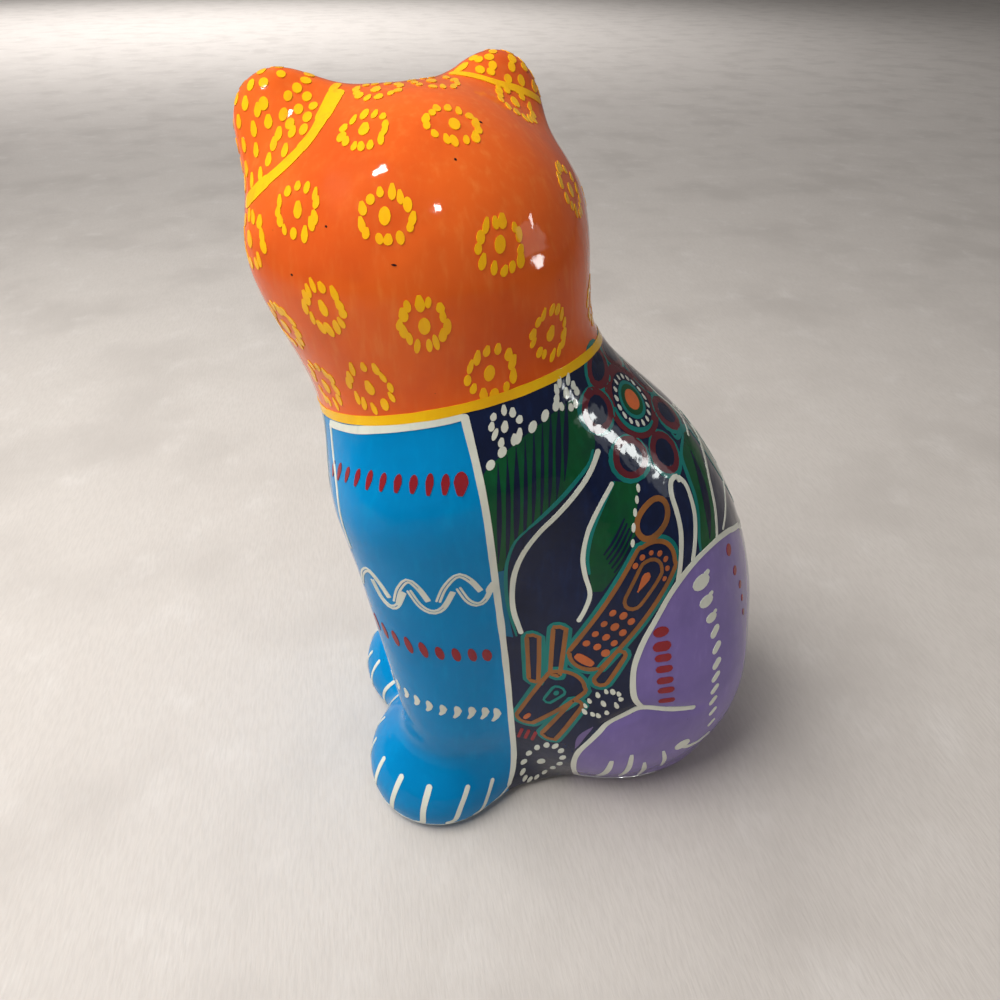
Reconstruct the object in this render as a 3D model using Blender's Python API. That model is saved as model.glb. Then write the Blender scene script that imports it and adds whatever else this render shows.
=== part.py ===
"""Seated pottery cat, cast in one piece, with its head turned to its right.

Metres, +Z up. The body faces -Y, its own left side is +X, and it stands on the flat underside at Z = 0.
The form is one closed skin: a ball of rings and segments is drawn out along the body's spine until
every point lies on a smooth blend of balls and tapered limbs. Sizes below are in millimetres.
"""

import math
from dataclasses import dataclass

import bmesh
import bpy
import numpy as np

NAME = "cat_figurine"
MM = 0.001

# Skin: segments round the spine, and the rings up the foot, up the body and over the crown. Each point
# is found by steps along its ray and then by halving.
SEGMENTS = 76
FOOT_RINGS = 11
SPINE_RINGS = 30
CROWN_RINGS = 23
SPINE_FOOT = (0.0, 4.0, 0.05)
FOOT_HEIGHT = 24.0
FOOT_EASE = 1.25
REACH = 80.0
REACH_STEPS = 40
HALVINGS = 22
LEAST_STEEPNESS = 1e-9

# Base: the roundness of its lower edge, and how close to the ground counts as flat.
BASE_ROUND = 3.0
FLAT_BAND = 0.06

# Widths over which the forms flow into each other.
CHEST_BLEND = 12.0
HAUNCH_BLEND = 7.0
LEG_BLEND = 13.0
BELLY_BLEND = 6.0
PAW_BLEND = 12.0
FOOT_BLEND = 5.0
NECK_BLEND = 12.0
FACE_BLEND = 8.0
EAR_BLEND = 9.0
HOLLOW_BLEND = 3.0
NOSE_BLEND = 3.0
TAIL_BLEND = 3.0
MIDLINE_SOFTNESS = 3.0

# Head: its middle, and how it is turned, nodded and tilted.
HEAD = (-6.8, -20.3, 147.4)
HEAD_TURN = math.radians(-77.3)
HEAD_NOD = math.radians(9.6)
HEAD_TILT = math.radians(1.6)

GLAZE_COLOUR = (0.10, 0.30, 0.62, 1.0)
GLAZE_ROUGHNESS = 0.18


def turned(about_x=0.0, about_y=0.0, about_z=0.0):
    """Rotation matrix: about Y first, then X, then Z."""
    cx, sx = math.cos(about_x), math.sin(about_x)
    cy, sy = math.cos(about_y), math.sin(about_y)
    cz, sz = math.cos(about_z), math.sin(about_z)
    x_turn = np.array([[1, 0, 0], [0, cx, -sx], [0, sx, cx]])
    y_turn = np.array([[cy, 0, sy], [0, 1, 0], [-sy, 0, cy]])
    z_turn = np.array([[cz, -sz, 0], [sz, cz, 0], [0, 0, 1]])
    return z_turn @ x_turn @ y_turn


@dataclass(frozen=True)
class Ball:
    """An ellipsoid, which may lean about X and swing about Z (degrees)."""

    centre: tuple
    radii: tuple
    lean: float = 0.0
    swing: float = 0.0

    def distance(self, points):
        """Signed distance of each point, negative inside."""
        turn = turned(about_x=math.radians(self.lean), about_z=math.radians(self.swing))
        local = (points - np.array(self.centre)) @ turn
        radii = np.array(self.radii)
        near = np.linalg.norm(local / radii, axis=-1)
        steep = np.linalg.norm(local / radii**2, axis=-1)
        return near * (near - 1.0) / np.maximum(steep, LEAST_STEEPNESS)


@dataclass(frozen=True)
class Limb:
    """A round bar that tapers between two ends, and may be flattened front to back."""

    start: tuple
    end: tuple
    start_radius: float
    end_radius: float
    flatness: float = 1.0

    def distance(self, points):
        """Signed distance of each point, negative inside."""
        squeeze = np.array([1.0, 1.0 / self.flatness, 1.0])
        start = np.array(self.start) * squeeze
        along = np.array(self.end) * squeeze - start
        offset = points * squeeze - start
        share = np.clip(offset @ along / (along @ along), 0.0, 1.0)
        gap = np.linalg.norm(offset - share[..., None] * along, axis=-1)
        radius = self.start_radius + (self.end_radius - self.start_radius) * share
        return (gap - radius) * self.flatness


# Body and legs. The ones marked as pairs are also made on the other side of X = 0.
TORSO = Ball((0.0, 22.3, 57.0), (40.5, 42.4, 71.0), lean=21.6)
CHEST = Ball((0.0, -13.4, 89.8), (26.0, 23.5, 42.4), lean=-3.9)
NECK = Limb((0.0, -10.4, 105.0), HEAD, 33.6, 29.9)
HAUNCH_PAIR = Ball((24.5, 26.0, 35.6), (18.9, 33.6, 36.4), lean=17.0)
BELLY = Ball((0.0, 4.0, 20.0), (31.0, 26.0, 80.0))
FORELEG_PAIR = Limb((15.9, -24.2, 97.4), (20.2, -20.9, 32.8), 19.2, 14.2)
FOREPAW_PAIR = Ball((19.1, -25.4, 5.9), (21.8, 20.8, 16.7))
HINDFOOT_PAIR = Ball((25.7, 30.6, 8.5), (8.4, 21.4, 14.1), swing=-4.0)

# Head, about its own middle, facing -Y before it is turned.
SKULL = Ball((-0.8, -0.2, -1.1), (33.3, 32.7, 23.9))
NOSE = Ball((0.0, -36.6, -4.5), (4.6, 3.4, 3.0))
MUZZLE = Ball((0.0, -28.0, -9.5), (14.5, 11.0, 9.5))
CHEEK_PAIR = Ball((16.1, -18.1, -8.9), (13.0, 14.0, 15.1))
INNER_EAR_PAIR = Limb((7.3, 0.0, 16.9), (22.6, -7.0, 26.1), 4.3, 6.9, flatness=0.75)
OUTER_EAR_PAIR = Limb((24.8, 3.8, 6.2), (22.6, -7.0, 26.1), 8.7, 6.9, flatness=0.75)
EAR_HOLLOW_PAIR = Ball((22.5, -16.6, 21.0), (6.6, 7.0, 8.5), lean=-14.0)

# Tail: a low ridge that leaves the back and lies forward round the right haunch. It follows the
# body's own skin between two bearings from the spine, and stands a little proud of it. Its height and
# its proudness change from the first value to the second over the settled share of its length.
TAIL_BEARINGS = (98.0, 183.0)
TAIL_HEIGHTS = (12.0, 8.5)
TAIL_RADII = (8.5, 7.0)
TAIL_PROUD = (2.0, 4.0)
TAIL_SETTLED = 0.45
TAIL_LINKS = 12


def blend(first, second, width):
    """Union of two distance fields that flow together over the given width."""
    share = np.clip(0.5 + 0.5 * (second - first) / width, 0.0, 1.0)
    return second + (first - second) * share - width * share * (1.0 - share)


def mirrored(points):
    """The points folded onto the +X side, so that one of a pair makes both, with no crease between."""
    folded = points.copy()
    folded[..., 0] = np.sqrt(folded[..., 0] ** 2 + MIDLINE_SOFTNESS**2)
    return folded


def head_field(points):
    """Skull, muzzle, cheeks and ears, turned with the head."""
    local = (points - np.array(HEAD)) @ turned(HEAD_NOD, HEAD_TILT, HEAD_TURN)
    paired = mirrored(local)
    field = SKULL.distance(local)
    field = blend(field, MUZZLE.distance(local), FACE_BLEND)
    field = blend(field, NOSE.distance(local), NOSE_BLEND)
    field = blend(field, CHEEK_PAIR.distance(paired), FACE_BLEND)
    ear = blend(INNER_EAR_PAIR.distance(paired), OUTER_EAR_PAIR.distance(paired), EAR_BLEND)
    field = blend(field, ear, EAR_BLEND)
    return -blend(-field, EAR_HOLLOW_PAIR.distance(paired), HOLLOW_BLEND)


def body_field(points):
    """Torso, chest, haunches, legs, paws and feet."""
    paired = mirrored(points)
    field = blend(TORSO.distance(points), CHEST.distance(points), CHEST_BLEND)
    field = blend(field, BELLY.distance(points), BELLY_BLEND)
    field = blend(field, HAUNCH_PAIR.distance(paired), HAUNCH_BLEND)
    leg = blend(FORELEG_PAIR.distance(paired), FOREPAW_PAIR.distance(paired), PAW_BLEND)
    field = blend(field, leg, LEG_BLEND)
    return blend(field, HINDFOOT_PAIR.distance(paired), FOOT_BLEND)


def tail_spans():
    """The tail as a chain of limbs that follows the body's skin, thinner towards its tip."""
    share = np.linspace(0.0, 1.0, TAIL_LINKS + 1)
    bearing = np.radians(np.interp(share, (0.0, 1.0), TAIL_BEARINGS))
    height = np.interp(share, (0.0, TAIL_SETTLED), TAIL_HEIGHTS)
    radius = np.interp(share, (0.0, 1.0), TAIL_RADII)
    proud = np.interp(share, (0.0, TAIL_SETTLED), TAIL_PROUD)
    start = np.tile(SPINE_FOOT, (TAIL_LINKS + 1, 1))
    start[:, 2] = height
    way = np.stack([np.cos(bearing), np.sin(bearing), np.zeros_like(bearing)], axis=-1)
    middle = on_skin(body_field, start, way) - way * (radius - proud)[:, None]
    ends = zip(middle[:-1], middle[1:], radius[:-1], radius[1:])
    return [Limb(tuple(a), tuple(b), first, second) for a, b, first, second in ends]


def cat_field(points, tail):
    """Signed distance to the whole cat, with its underside cut flat and softly rounded."""
    field = body_field(points)
    ridge = np.minimum.reduce([span.distance(points) for span in tail])
    field = blend(field, ridge, TAIL_BLEND)
    field = blend(field, NECK.distance(points), NECK_BLEND)
    field = blend(field, head_field(points), NECK_BLEND)
    return -blend(-field, points[..., 2], BASE_ROUND)


def spine_rays(rise, bearing):
    """Where each point of the ball sets out from the spine, and which way.

    rise runs from 0 at the underside's middle to 1 at the crown; bearing is the angle round Z.
    Rays run level from the spine, and fan out over the crown from the head's middle.
    """
    ring = rise * (FOOT_RINGS + SPINE_RINGS + CROWN_RINGS) - 1.0
    low = np.clip(ring / FOOT_RINGS, 0.0, 1.0)
    middle = np.clip((ring - FOOT_RINGS) / (SPINE_RINGS - 1), 0.0, 1.0)
    high = np.clip((ring - FOOT_RINGS - SPINE_RINGS + 1) / CROWN_RINGS, 0.0, 1.0)
    foot, head = np.array(SPINE_FOOT), np.array(HEAD)
    height = FOOT_HEIGHT * low**FOOT_EASE + (head[2] - FOOT_HEIGHT) * middle
    start = foot + (head - foot) * (height / head[2])[:, None]
    slope = high * math.pi / 2
    level = np.cos(slope)
    way = np.stack([level * np.cos(bearing), level * np.sin(bearing), np.sin(slope)], axis=-1)
    return start, way


def on_skin(field, start, way):
    """The outermost crossing of each ray with the surface where the field is zero."""
    steps = np.linspace(0.0, REACH, REACH_STEPS)
    samples = start[:, None, :] + way[:, None, :] * steps[None, :, None]
    inside = field(samples) < 0.0
    last = REACH_STEPS - 1 - np.argmax(inside[:, ::-1], axis=1)
    near = steps[last]
    far = steps[np.minimum(last + 1, REACH_STEPS - 1)]
    for _ in range(HALVINGS):
        middle = (near + far) / 2
        within = field(start + way * middle[:, None]) < 0.0
        near = np.where(within, middle, near)
        far = np.where(within, far, middle)
    return start + way * ((near + far) / 2)[:, None]


def shape_skin(mesh_edit):
    """Draw a ball of rings and segments out to the cat's surface, level and centre it.

    The middle of the box round the finished cat comes to X = Y = 0.
    """
    rings = FOOT_RINGS + SPINE_RINGS + CROWN_RINGS
    bmesh.ops.create_uvsphere(mesh_edit, u_segments=SEGMENTS, v_segments=rings, radius=1.0)
    ball = np.array([vertex.co for vertex in mesh_edit.verts])
    rise = np.arcsin(np.clip(ball[:, 2], -1.0, 1.0)) / math.pi + 0.5
    bearing = np.arctan2(ball[:, 1], ball[:, 0])
    start, way = spine_rays(rise, bearing)
    tail = tail_spans()
    points = on_skin(lambda spots: cat_field(spots, tail), start, way)
    points[points[:, 2] < FLAT_BAND, 2] = 0.0
    points[rise == 0.0] = (SPINE_FOOT[0], SPINE_FOOT[1], 0.0)
    points[:, :2] -= (points[:, :2].min(axis=0) + points[:, :2].max(axis=0)) / 2
    for vertex, point in zip(mesh_edit.verts, points):
        vertex.co = point * MM
    underside = [face for face in mesh_edit.faces if all(vertex.co.z == 0.0 for vertex in face.verts)]
    bmesh.ops.dissolve_faces(mesh_edit, faces=underside, use_verts=True)
    bmesh.ops.recalc_face_normals(mesh_edit, faces=mesh_edit.faces)


def glaze_material():
    """Glossy painted finish of the whole piece."""
    material = bpy.data.materials.new("painted_glaze")
    material.use_nodes = True
    shader = material.node_tree.nodes["Principled BSDF"]
    shader.inputs["Base Color"].default_value = GLAZE_COLOUR
    shader.inputs["Roughness"].default_value = GLAZE_ROUGHNESS
    shader.inputs["Metallic"].default_value = 0.0
    return material


def make_cat():
    """The cat's object, in a collection of its own name."""
    mesh = bpy.data.meshes.new(NAME)
    mesh_edit = bmesh.new()
    shape_skin(mesh_edit)
    mesh_edit.to_mesh(mesh)
    mesh_edit.free()
    mesh.materials.append(glaze_material())
    mesh.shade_smooth()
    cat = bpy.data.objects.new(NAME, mesh)
    collection = bpy.data.collections.new("pottery_cat")
    bpy.context.scene.collection.children.link(collection)
    collection.objects.link(cat)
    return cat


def main():
    """Clear the scene and make the cat."""
    for item in list(bpy.data.objects):
        bpy.data.objects.remove(item, do_unlink=True)
    make_cat()


main()
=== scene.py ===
"""Looks of a seated, hand-painted pottery cat: glazes, brushwork, painted face, floor and light.

The cat's one casting is the fixed frame. Its skin is refined here and coated in four colours, and every
brush stroke, dab and filled shape is a thin film of paint laid on that skin.

Lengths named in this file are millimetres and turns are degrees, unless they say otherwise. A place on
the skin is named by two numbers in a chart:

* FlatChart: seen squarely from one side, (distance across, height).
* RoundChart: (bearing round the upright axis, height); 0 is the cat's left, 90 its back, -90 its front.
* HeadChart: (bearing, rise) from the head's middle; 0 is the nose, 90 the cat's left ear.
"""

import logging
import math
import random
from collections.abc import Callable, Sequence
from dataclasses import dataclass, field
from enum import Enum

import bmesh
import bpy
import numpy as np
from mathutils import Matrix, Vector, noise
from mathutils.bvhtree import BVHTree


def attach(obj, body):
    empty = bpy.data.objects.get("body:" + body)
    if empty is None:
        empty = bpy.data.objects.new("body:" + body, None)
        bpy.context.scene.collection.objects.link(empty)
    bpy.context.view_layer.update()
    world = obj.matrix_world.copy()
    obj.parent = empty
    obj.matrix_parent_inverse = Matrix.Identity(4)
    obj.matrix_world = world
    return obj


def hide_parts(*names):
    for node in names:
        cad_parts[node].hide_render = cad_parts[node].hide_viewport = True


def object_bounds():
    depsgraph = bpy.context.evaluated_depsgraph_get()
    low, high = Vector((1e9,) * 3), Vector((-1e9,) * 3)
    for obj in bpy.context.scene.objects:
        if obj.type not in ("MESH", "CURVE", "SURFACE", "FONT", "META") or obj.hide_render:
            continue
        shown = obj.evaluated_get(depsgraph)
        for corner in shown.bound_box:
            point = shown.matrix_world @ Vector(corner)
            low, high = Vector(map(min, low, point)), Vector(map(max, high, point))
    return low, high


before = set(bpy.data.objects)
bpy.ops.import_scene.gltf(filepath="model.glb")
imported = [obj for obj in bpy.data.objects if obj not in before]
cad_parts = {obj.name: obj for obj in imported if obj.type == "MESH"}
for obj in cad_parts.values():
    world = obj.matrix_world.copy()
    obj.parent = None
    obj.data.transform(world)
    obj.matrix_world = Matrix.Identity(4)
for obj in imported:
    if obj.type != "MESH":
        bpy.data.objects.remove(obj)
CAD_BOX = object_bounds()

# A pair is a place on a chart or a size; a triple is a point, a stretch or a colour.
Pair = tuple[float, float]
Pairs = tuple[Pair, ...]
Triple = tuple[float, float, float]
Colour = Triple
Socket = bpy.types.NodeSocket

NODE = "cat_figurine"
BODY = "root"
MM = 0.001
UP = Vector((0.0, 0.0, 1.0))

# How far out a ray that looks for the skin sets out, in metres.
REACH = 0.15

# The head's middle in the casting, and how the head is turned, nodded and tilted there.
HEAD_MIDDLE = Vector((-6.5, -27.4, 148.0))
HEAD_TURN = math.radians(-77.3)
HEAD_NOD = math.radians(9.6)
HEAD_TILT = math.radians(2.0)

# Where the body's charts have their zero, and the upright axis that bearings are measured round.
BODY_MIDDLE = Vector((-0.1, -0.9, 0.0))
BODY_AXIS = BODY_MIDDLE + Vector((0.0, -2.0, 0.0))

# The orange of the head ends at a sloping plane: its height at the middle, and its rise per millimetre.
COLLAR_HEIGHT = 126.0
COLLAR_SLOPE = (0.195, 0.184)

# Above this height the right side's motifs settle towards the lower half of the collar. How far to the
# side the flank lies there, and how far to the side and to the back the round chart reaches.
SETTLE_FROM = 86.0
FLANK_OUT = 34.0
ROUND_OUT = (36.0, 38.0)

# Front panel: the edge between the blue and the navy, seen from the side.
PANEL_EDGE = ((-22.5, 126.5), (-20.0, 112.0), (-18.3, 96.0), (-15.7, 70.0), (-14.0, 49.5),
              (-12.4, 26.0), (-12.1, 14.0), (-13.6, 6.0))

# Haunch and hind foot: their outline seen from the side, from the back down to the sole.
HAUNCH_EDGE = ((54.0, 74.0), (49.2, 78.8), (45.5, 81.4), (43.0, 82.9), (38.0, 84.4), (32.0, 84.1),
               (27.2, 82.0), (23.0, 78.0), (19.5, 72.1), (17.0, 67.0), (15.3, 60.8), (15.2, 55.0),
               (16.0, 50.2), (18.4, 46.1))
FOOT_EDGE = ((18.4, 46.1), (14.3, 44.2), (9.8, 40.5), (6.1, 33.8), (3.6, 27.2), (3.5, 19.0), (6.4, 6.6))

# Behind the foot's edge: where the crease over the foot runs on, and where its white outline begins.
CREASE_END = ((26.0, 43.5), (33.8, 41.0))
BACK_FOOT_LINE = ((33.8, 41.0), (26.0, 43.6))

# How many points a smooth curve is first drawn with between two of its knots.
SPAN_POINTS = 12

# Lowest height, in millimetres, that still counts as glazed, and the angles past which an edge is sharp.
SOLE = 0.01
COAT_SHARP = 60.0
FILM_SHARP = 35.0

log = logging.getLogger("pottery_cat")


# ---------- Places on the skin ----------


def add_to_scene(name: str, data: bpy.types.ID) -> bpy.types.Object:
    """Put a new object into the scene.

    Args:
        name: The object's name.
        data: Its mesh, light or camera.

    Returns:
        The object.
    """
    item = bpy.data.objects.new(name, data)
    bpy.context.scene.collection.objects.link(item)
    return item


@dataclass(frozen=True)
class Spot:
    """A place on the skin: its point and the way out of the skin there."""

    point: Vector
    normal: Vector


class Skin:
    """The refined outer surface of the casting, as something that paint can be laid on."""

    def __init__(self, edit: bmesh.types.BMesh) -> None:
        """Keep a search tree of the surface.

        Args:
            edit: The refined surface, in metres.
        """
        self.tree = BVHTree.FromBMesh(edit)

    def nearest(self, point: Vector) -> Spot:
        """Give the place on the skin that lies nearest to a point."""
        found, normal, _, _ = self.tree.find_nearest(point)
        return Spot(found, normal)

    def along(self, origin: Vector, way: Vector) -> Spot:
        """Give the first place that a ray meets, or the nearest one to where it passes the cat.

        Args:
            origin: Where the ray sets out.
            way: Which way it goes.

        Returns:
            The place.
        """
        found, normal, _, _ = self.tree.ray_cast(origin, way)
        if found is None:
            return self.nearest(origin + way * REACH)
        return Spot(found, normal if normal.dot(way) * self.inward(origin) < 0 else -normal)

    @staticmethod
    def inward(origin: Vector) -> float:
        """Tell a ray that sets out from outside (1) from one that sets out from the cat's middle (-1)."""
        outside = (origin - BODY_AXIS * MM).xy.length > REACH / 2
        return 1.0 if outside else -1.0


class Hand(Enum):
    """One of the cat's own two sides."""

    LEFT = 1
    RIGHT = -1


def settled(side: float, back: float, height: float) -> float:
    """Give the height that a motif takes on the right, where the sloping collar leaves it less room.

    Args:
        side: How far to the side it lies.
        back: How far back it lies.
        height: Its height on the left.

    Returns:
        Its height on the right.
    """
    if height <= SETTLE_FROM:
        return height
    left = COLLAR_HEIGHT + COLLAR_SLOPE[0] * side + COLLAR_SLOPE[1] * back - SETTLE_FROM
    return SETTLE_FROM + (height - SETTLE_FROM) * (1.0 - 2.0 * COLLAR_SLOPE[0] * side / left)


@dataclass(frozen=True)
class FlatChart:
    """Places named as seen squarely from one side."""

    toward: Vector
    across: Vector
    settle: bool = False

    def spot(self, skin: Skin, across: float, height: float) -> Spot:
        """Give the place seen at this distance across and this height.

        Args:
            skin: What is painted.
            across: Its distance across.
            height: Its height on the left side.

        Returns:
            The place on the skin.
        """
        if self.settle:
            height = settled(FLANK_OUT, across, height)
        middle = (BODY_MIDDLE + self.across * across + UP * height) * MM
        return skin.along(middle - self.toward * REACH, self.toward)

    @classmethod
    def side(cls, hand: Hand, settle: bool = False) -> "FlatChart":
        """Give the chart of the cat's left or right side, where across runs from front to back."""
        return cls(Vector((-hand.value, 0.0, 0.0)), Vector((0.0, 1.0, 0.0)), settle and hand is Hand.RIGHT)

    @classmethod
    def back(cls) -> "FlatChart":
        """Give the chart of the back, where across runs out to the cat's left."""
        return cls(Vector((0.0, -1.0, 0.0)), Vector((1.0, 0.0, 0.0)))


@dataclass(frozen=True)
class RoundChart:
    """Places named by their bearing round the body and their height."""

    hand: Hand = Hand.LEFT

    def spot(self, skin: Skin, bearing: float, height: float) -> Spot:
        """Give the place at this bearing and height; the right side mirrors the left.

        Args:
            skin: What is painted.
            bearing: Its bearing on the left side.
            height: Its height on the left side.

        Returns:
            The place on the skin.
        """
        turn = math.radians(bearing)
        if self.hand is Hand.RIGHT:
            height = settled(ROUND_OUT[0] * math.cos(turn), ROUND_OUT[1] * math.sin(turn), height)
        way = Vector((math.cos(turn) * self.hand.value, math.sin(turn), 0.0))
        return skin.along((BODY_AXIS + UP * height) * MM + way * REACH, -way)


def head_axes() -> Matrix:
    """Give the turn from the head's own axes, where it faces -Y, to the casting's."""
    turn = Matrix.Rotation(HEAD_TURN, 3, "Z")
    return turn @ Matrix.Rotation(HEAD_NOD, 3, "X") @ Matrix.Rotation(HEAD_TILT, 3, "Y")


@dataclass(frozen=True)
class HeadChart:
    """Places on the head named by bearing and rise from its middle."""

    hand: Hand = Hand.LEFT

    def spot(self, skin: Skin, bearing: float, rise: float) -> Spot:
        """Give the place in this direction from the head's middle; the right side mirrors the left.

        Args:
            skin: What is painted.
            bearing: Its bearing on the left side.
            rise: Its rise.

        Returns:
            The place on the skin.
        """
        turn, lift = math.radians(bearing), math.radians(rise)
        level = math.cos(lift)
        way = Vector((math.sin(turn) * level * self.hand.value, -math.cos(turn) * level, math.sin(lift)))
        return skin.along(HEAD_MIDDLE * MM, head_axes() @ way)


Chart = FlatChart | RoundChart | HeadChart


@dataclass(frozen=True)
class Easel:
    """A flat drawing frame that touches the skin at one spot, so that a motif keeps its true size."""

    skin: Skin
    centre: Spot
    across: Vector
    up: Vector

    @classmethod
    def at(cls, skin: Skin, centre: Spot, top: Vector, turn: float = 0.0) -> "Easel":
        """Set up an easel.

        Args:
            skin: The skin it touches.
            centre: Where it touches.
            top: Roughly which way is up in the drawing.
            turn: Degrees that the drawing is turned by, anticlockwise.

        Returns:
            The easel, square to the skin.
        """
        level = (top - centre.normal * top.dot(centre.normal)).normalized()
        up = Matrix.Rotation(math.radians(turn), 3, centre.normal) @ level
        return cls(skin, centre, up.cross(centre.normal), up)

    @classmethod
    def on(cls, skin: Skin, chart: Chart, *place: float) -> "Easel":
        """Set up an upright easel at a place of a chart."""
        return cls.at(skin, chart.spot(skin, *place), UP)

    def spot(self, across: float, up: float) -> Spot:
        """Give the place on the skin under this point of the drawing."""
        return self.skin.nearest(self.centre.point + (self.across * across + self.up * up) * MM)

    def polar(self, radius: float, angle: float) -> Spot:
        """Give the place at this distance and angle from the drawing's middle."""
        turn = math.radians(angle)
        return self.spot(radius * math.cos(turn), radius * math.sin(turn))


def smooth_line(points: Sequence[Vector], step: float, closed: bool = False) -> list[Vector]:
    """Draw a smooth curve through points and divide it evenly.

    Args:
        points: What the curve passes through.
        step: The wanted distance between its divisions, in metres.
        closed: True if it comes back to where it began.

    Returns:
        Points at even distances along the curve.
    """
    knots = np.array(points)
    if closed:
        knots = np.vstack([knots[-1], knots, knots[0], knots[1]])
    else:
        knots = np.vstack([2 * knots[0] - knots[1], knots, 2 * knots[-1] - knots[-2]])
    share = np.linspace(0.0, 1.0, SPAN_POINTS, endpoint=False)[:, None]
    spans = []
    for before, start, end, after in zip(knots, knots[1:], knots[2:], knots[3:]):
        pull, lean = 2 * before - 5 * start + 4 * end - after, 3 * (start - end) + after - before
        spans.append(start + 0.5 * share * (end - before + share * (pull + share * lean)))
    curve = np.vstack([*spans, knots[-2][None]])
    walked = np.concatenate([[0.0], np.cumsum(np.linalg.norm(np.diff(curve, axis=0), axis=1))])
    count = max(2, round(walked[-1] / step))
    even = np.linspace(0.0, walked[-1], count + 1)
    return [Vector([np.interp(at, walked, curve[:, axis]) for axis in range(3)]) for at in even]


# ---------- Finishes ----------


class Sheet:
    """A material's node tree, with short ways to add the nodes that the finishes share."""

    def __init__(self, name: str) -> None:
        """Start a material.

        Args:
            name: The material's name.
        """
        self.material = bpy.data.materials.new(name)
        self.material.use_nodes = True
        self.tree = self.material.node_tree
        self.shader = self.tree.nodes["Principled BSDF"]
        self.places = self.add("ShaderNodeTexCoord").outputs["Object"]

    def add(self, kind: str, **values: object) -> bpy.types.Node:
        """Add a node and set its own properties.

        Args:
            kind: The node's type.
            **values: Its own properties by name.

        Returns:
            The node.
        """
        node = self.tree.nodes.new(kind)
        for name, value in values.items():
            setattr(node, name, value)
        return node

    def link(self, source: Socket, target: Socket) -> None:
        """Link one socket to another."""
        self.tree.links.new(source, target)

    def clouds(self, size: float, detail: float = 3.0, stretch: Triple = (1.0, 1.0, 1.0),
               shift: float = 0.0) -> Socket:
        """Add a soft noise.

        Args:
            size: Width of its clouds in millimetres.
            detail: How many finer layers it has.
            stretch: How many times longer the clouds are along each axis.
            shift: Moves the pattern, so that two noises of one size differ.

        Returns:
            Its value, about 0 to 1.
        """
        place = self.add("ShaderNodeMapping")
        place.inputs["Location"].default_value = (shift, shift / 2, -shift)
        place.inputs["Scale"].default_value = [1.0 / (size * MM * longer) for longer in stretch]
        self.link(self.places, place.inputs["Vector"])
        clouds = self.add("ShaderNodeTexNoise")
        clouds.inputs["Scale"].default_value = 1.0
        clouds.inputs["Detail"].default_value = detail
        self.link(place.outputs["Vector"], clouds.inputs["Vector"])
        return clouds.outputs["Fac"]

    def level(self, value: Socket, low: float, high: float, bottom: float = 0.0,
              top: float = 1.0) -> Socket:
        """Spread the part of a value between low and high over bottom to top.

        Args:
            value: The value.
            low: Where the part starts.
            high: Where the part ends.
            bottom: What its start becomes.
            top: What its end becomes.

        Returns:
            The value so spread.
        """
        spread = self.add("ShaderNodeMapRange", interpolation_type="SMOOTHSTEP")
        for name, number in (("From Min", low), ("From Max", high), ("To Min", bottom), ("To Max", top)):
            spread.inputs[name].default_value = number
        self.link(value, spread.inputs["Value"])
        return spread.outputs["Result"]

    def blend(self, share: Socket, first: Socket | Colour,
              second: Socket | Colour) -> Socket:
        """Mix two colours by a share from 0 to 1.

        Args:
            share: How much of the second colour there is.
            first: The first colour.
            second: The second colour.

        Returns:
            The mixed colour.
        """
        mix = self.add("ShaderNodeMix", data_type="RGBA")
        self.link(share, mix.inputs["Factor"])
        for name, colour in (("A", first), ("B", second)):
            socket = next(item for item in mix.inputs if item.name == name and item.type == "RGBA")
            if isinstance(colour, tuple):
                socket.default_value = (*colour, 1.0)
            else:
                self.link(colour, socket)
        return next(item for item in mix.outputs if item.type == "RGBA")

    def relief(self, height: Socket, depth: float,
               under: Socket | None = None) -> Socket:
        """Add relief of the given depth in millimetres, over what lies under it.

        Args:
            height: The relief's height, from 0 to 1.
            depth: Its depth in millimetres.
            under: The relief that lies under it, if there is one.

        Returns:
            The way out of the roughened surface.
        """
        bump = self.add("ShaderNodeBump")
        bump.inputs["Distance"].default_value = depth * MM
        self.link(height, bump.inputs["Height"])
        if under is not None:
            self.link(under, bump.inputs["Normal"])
        return bump.outputs["Normal"]


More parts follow.
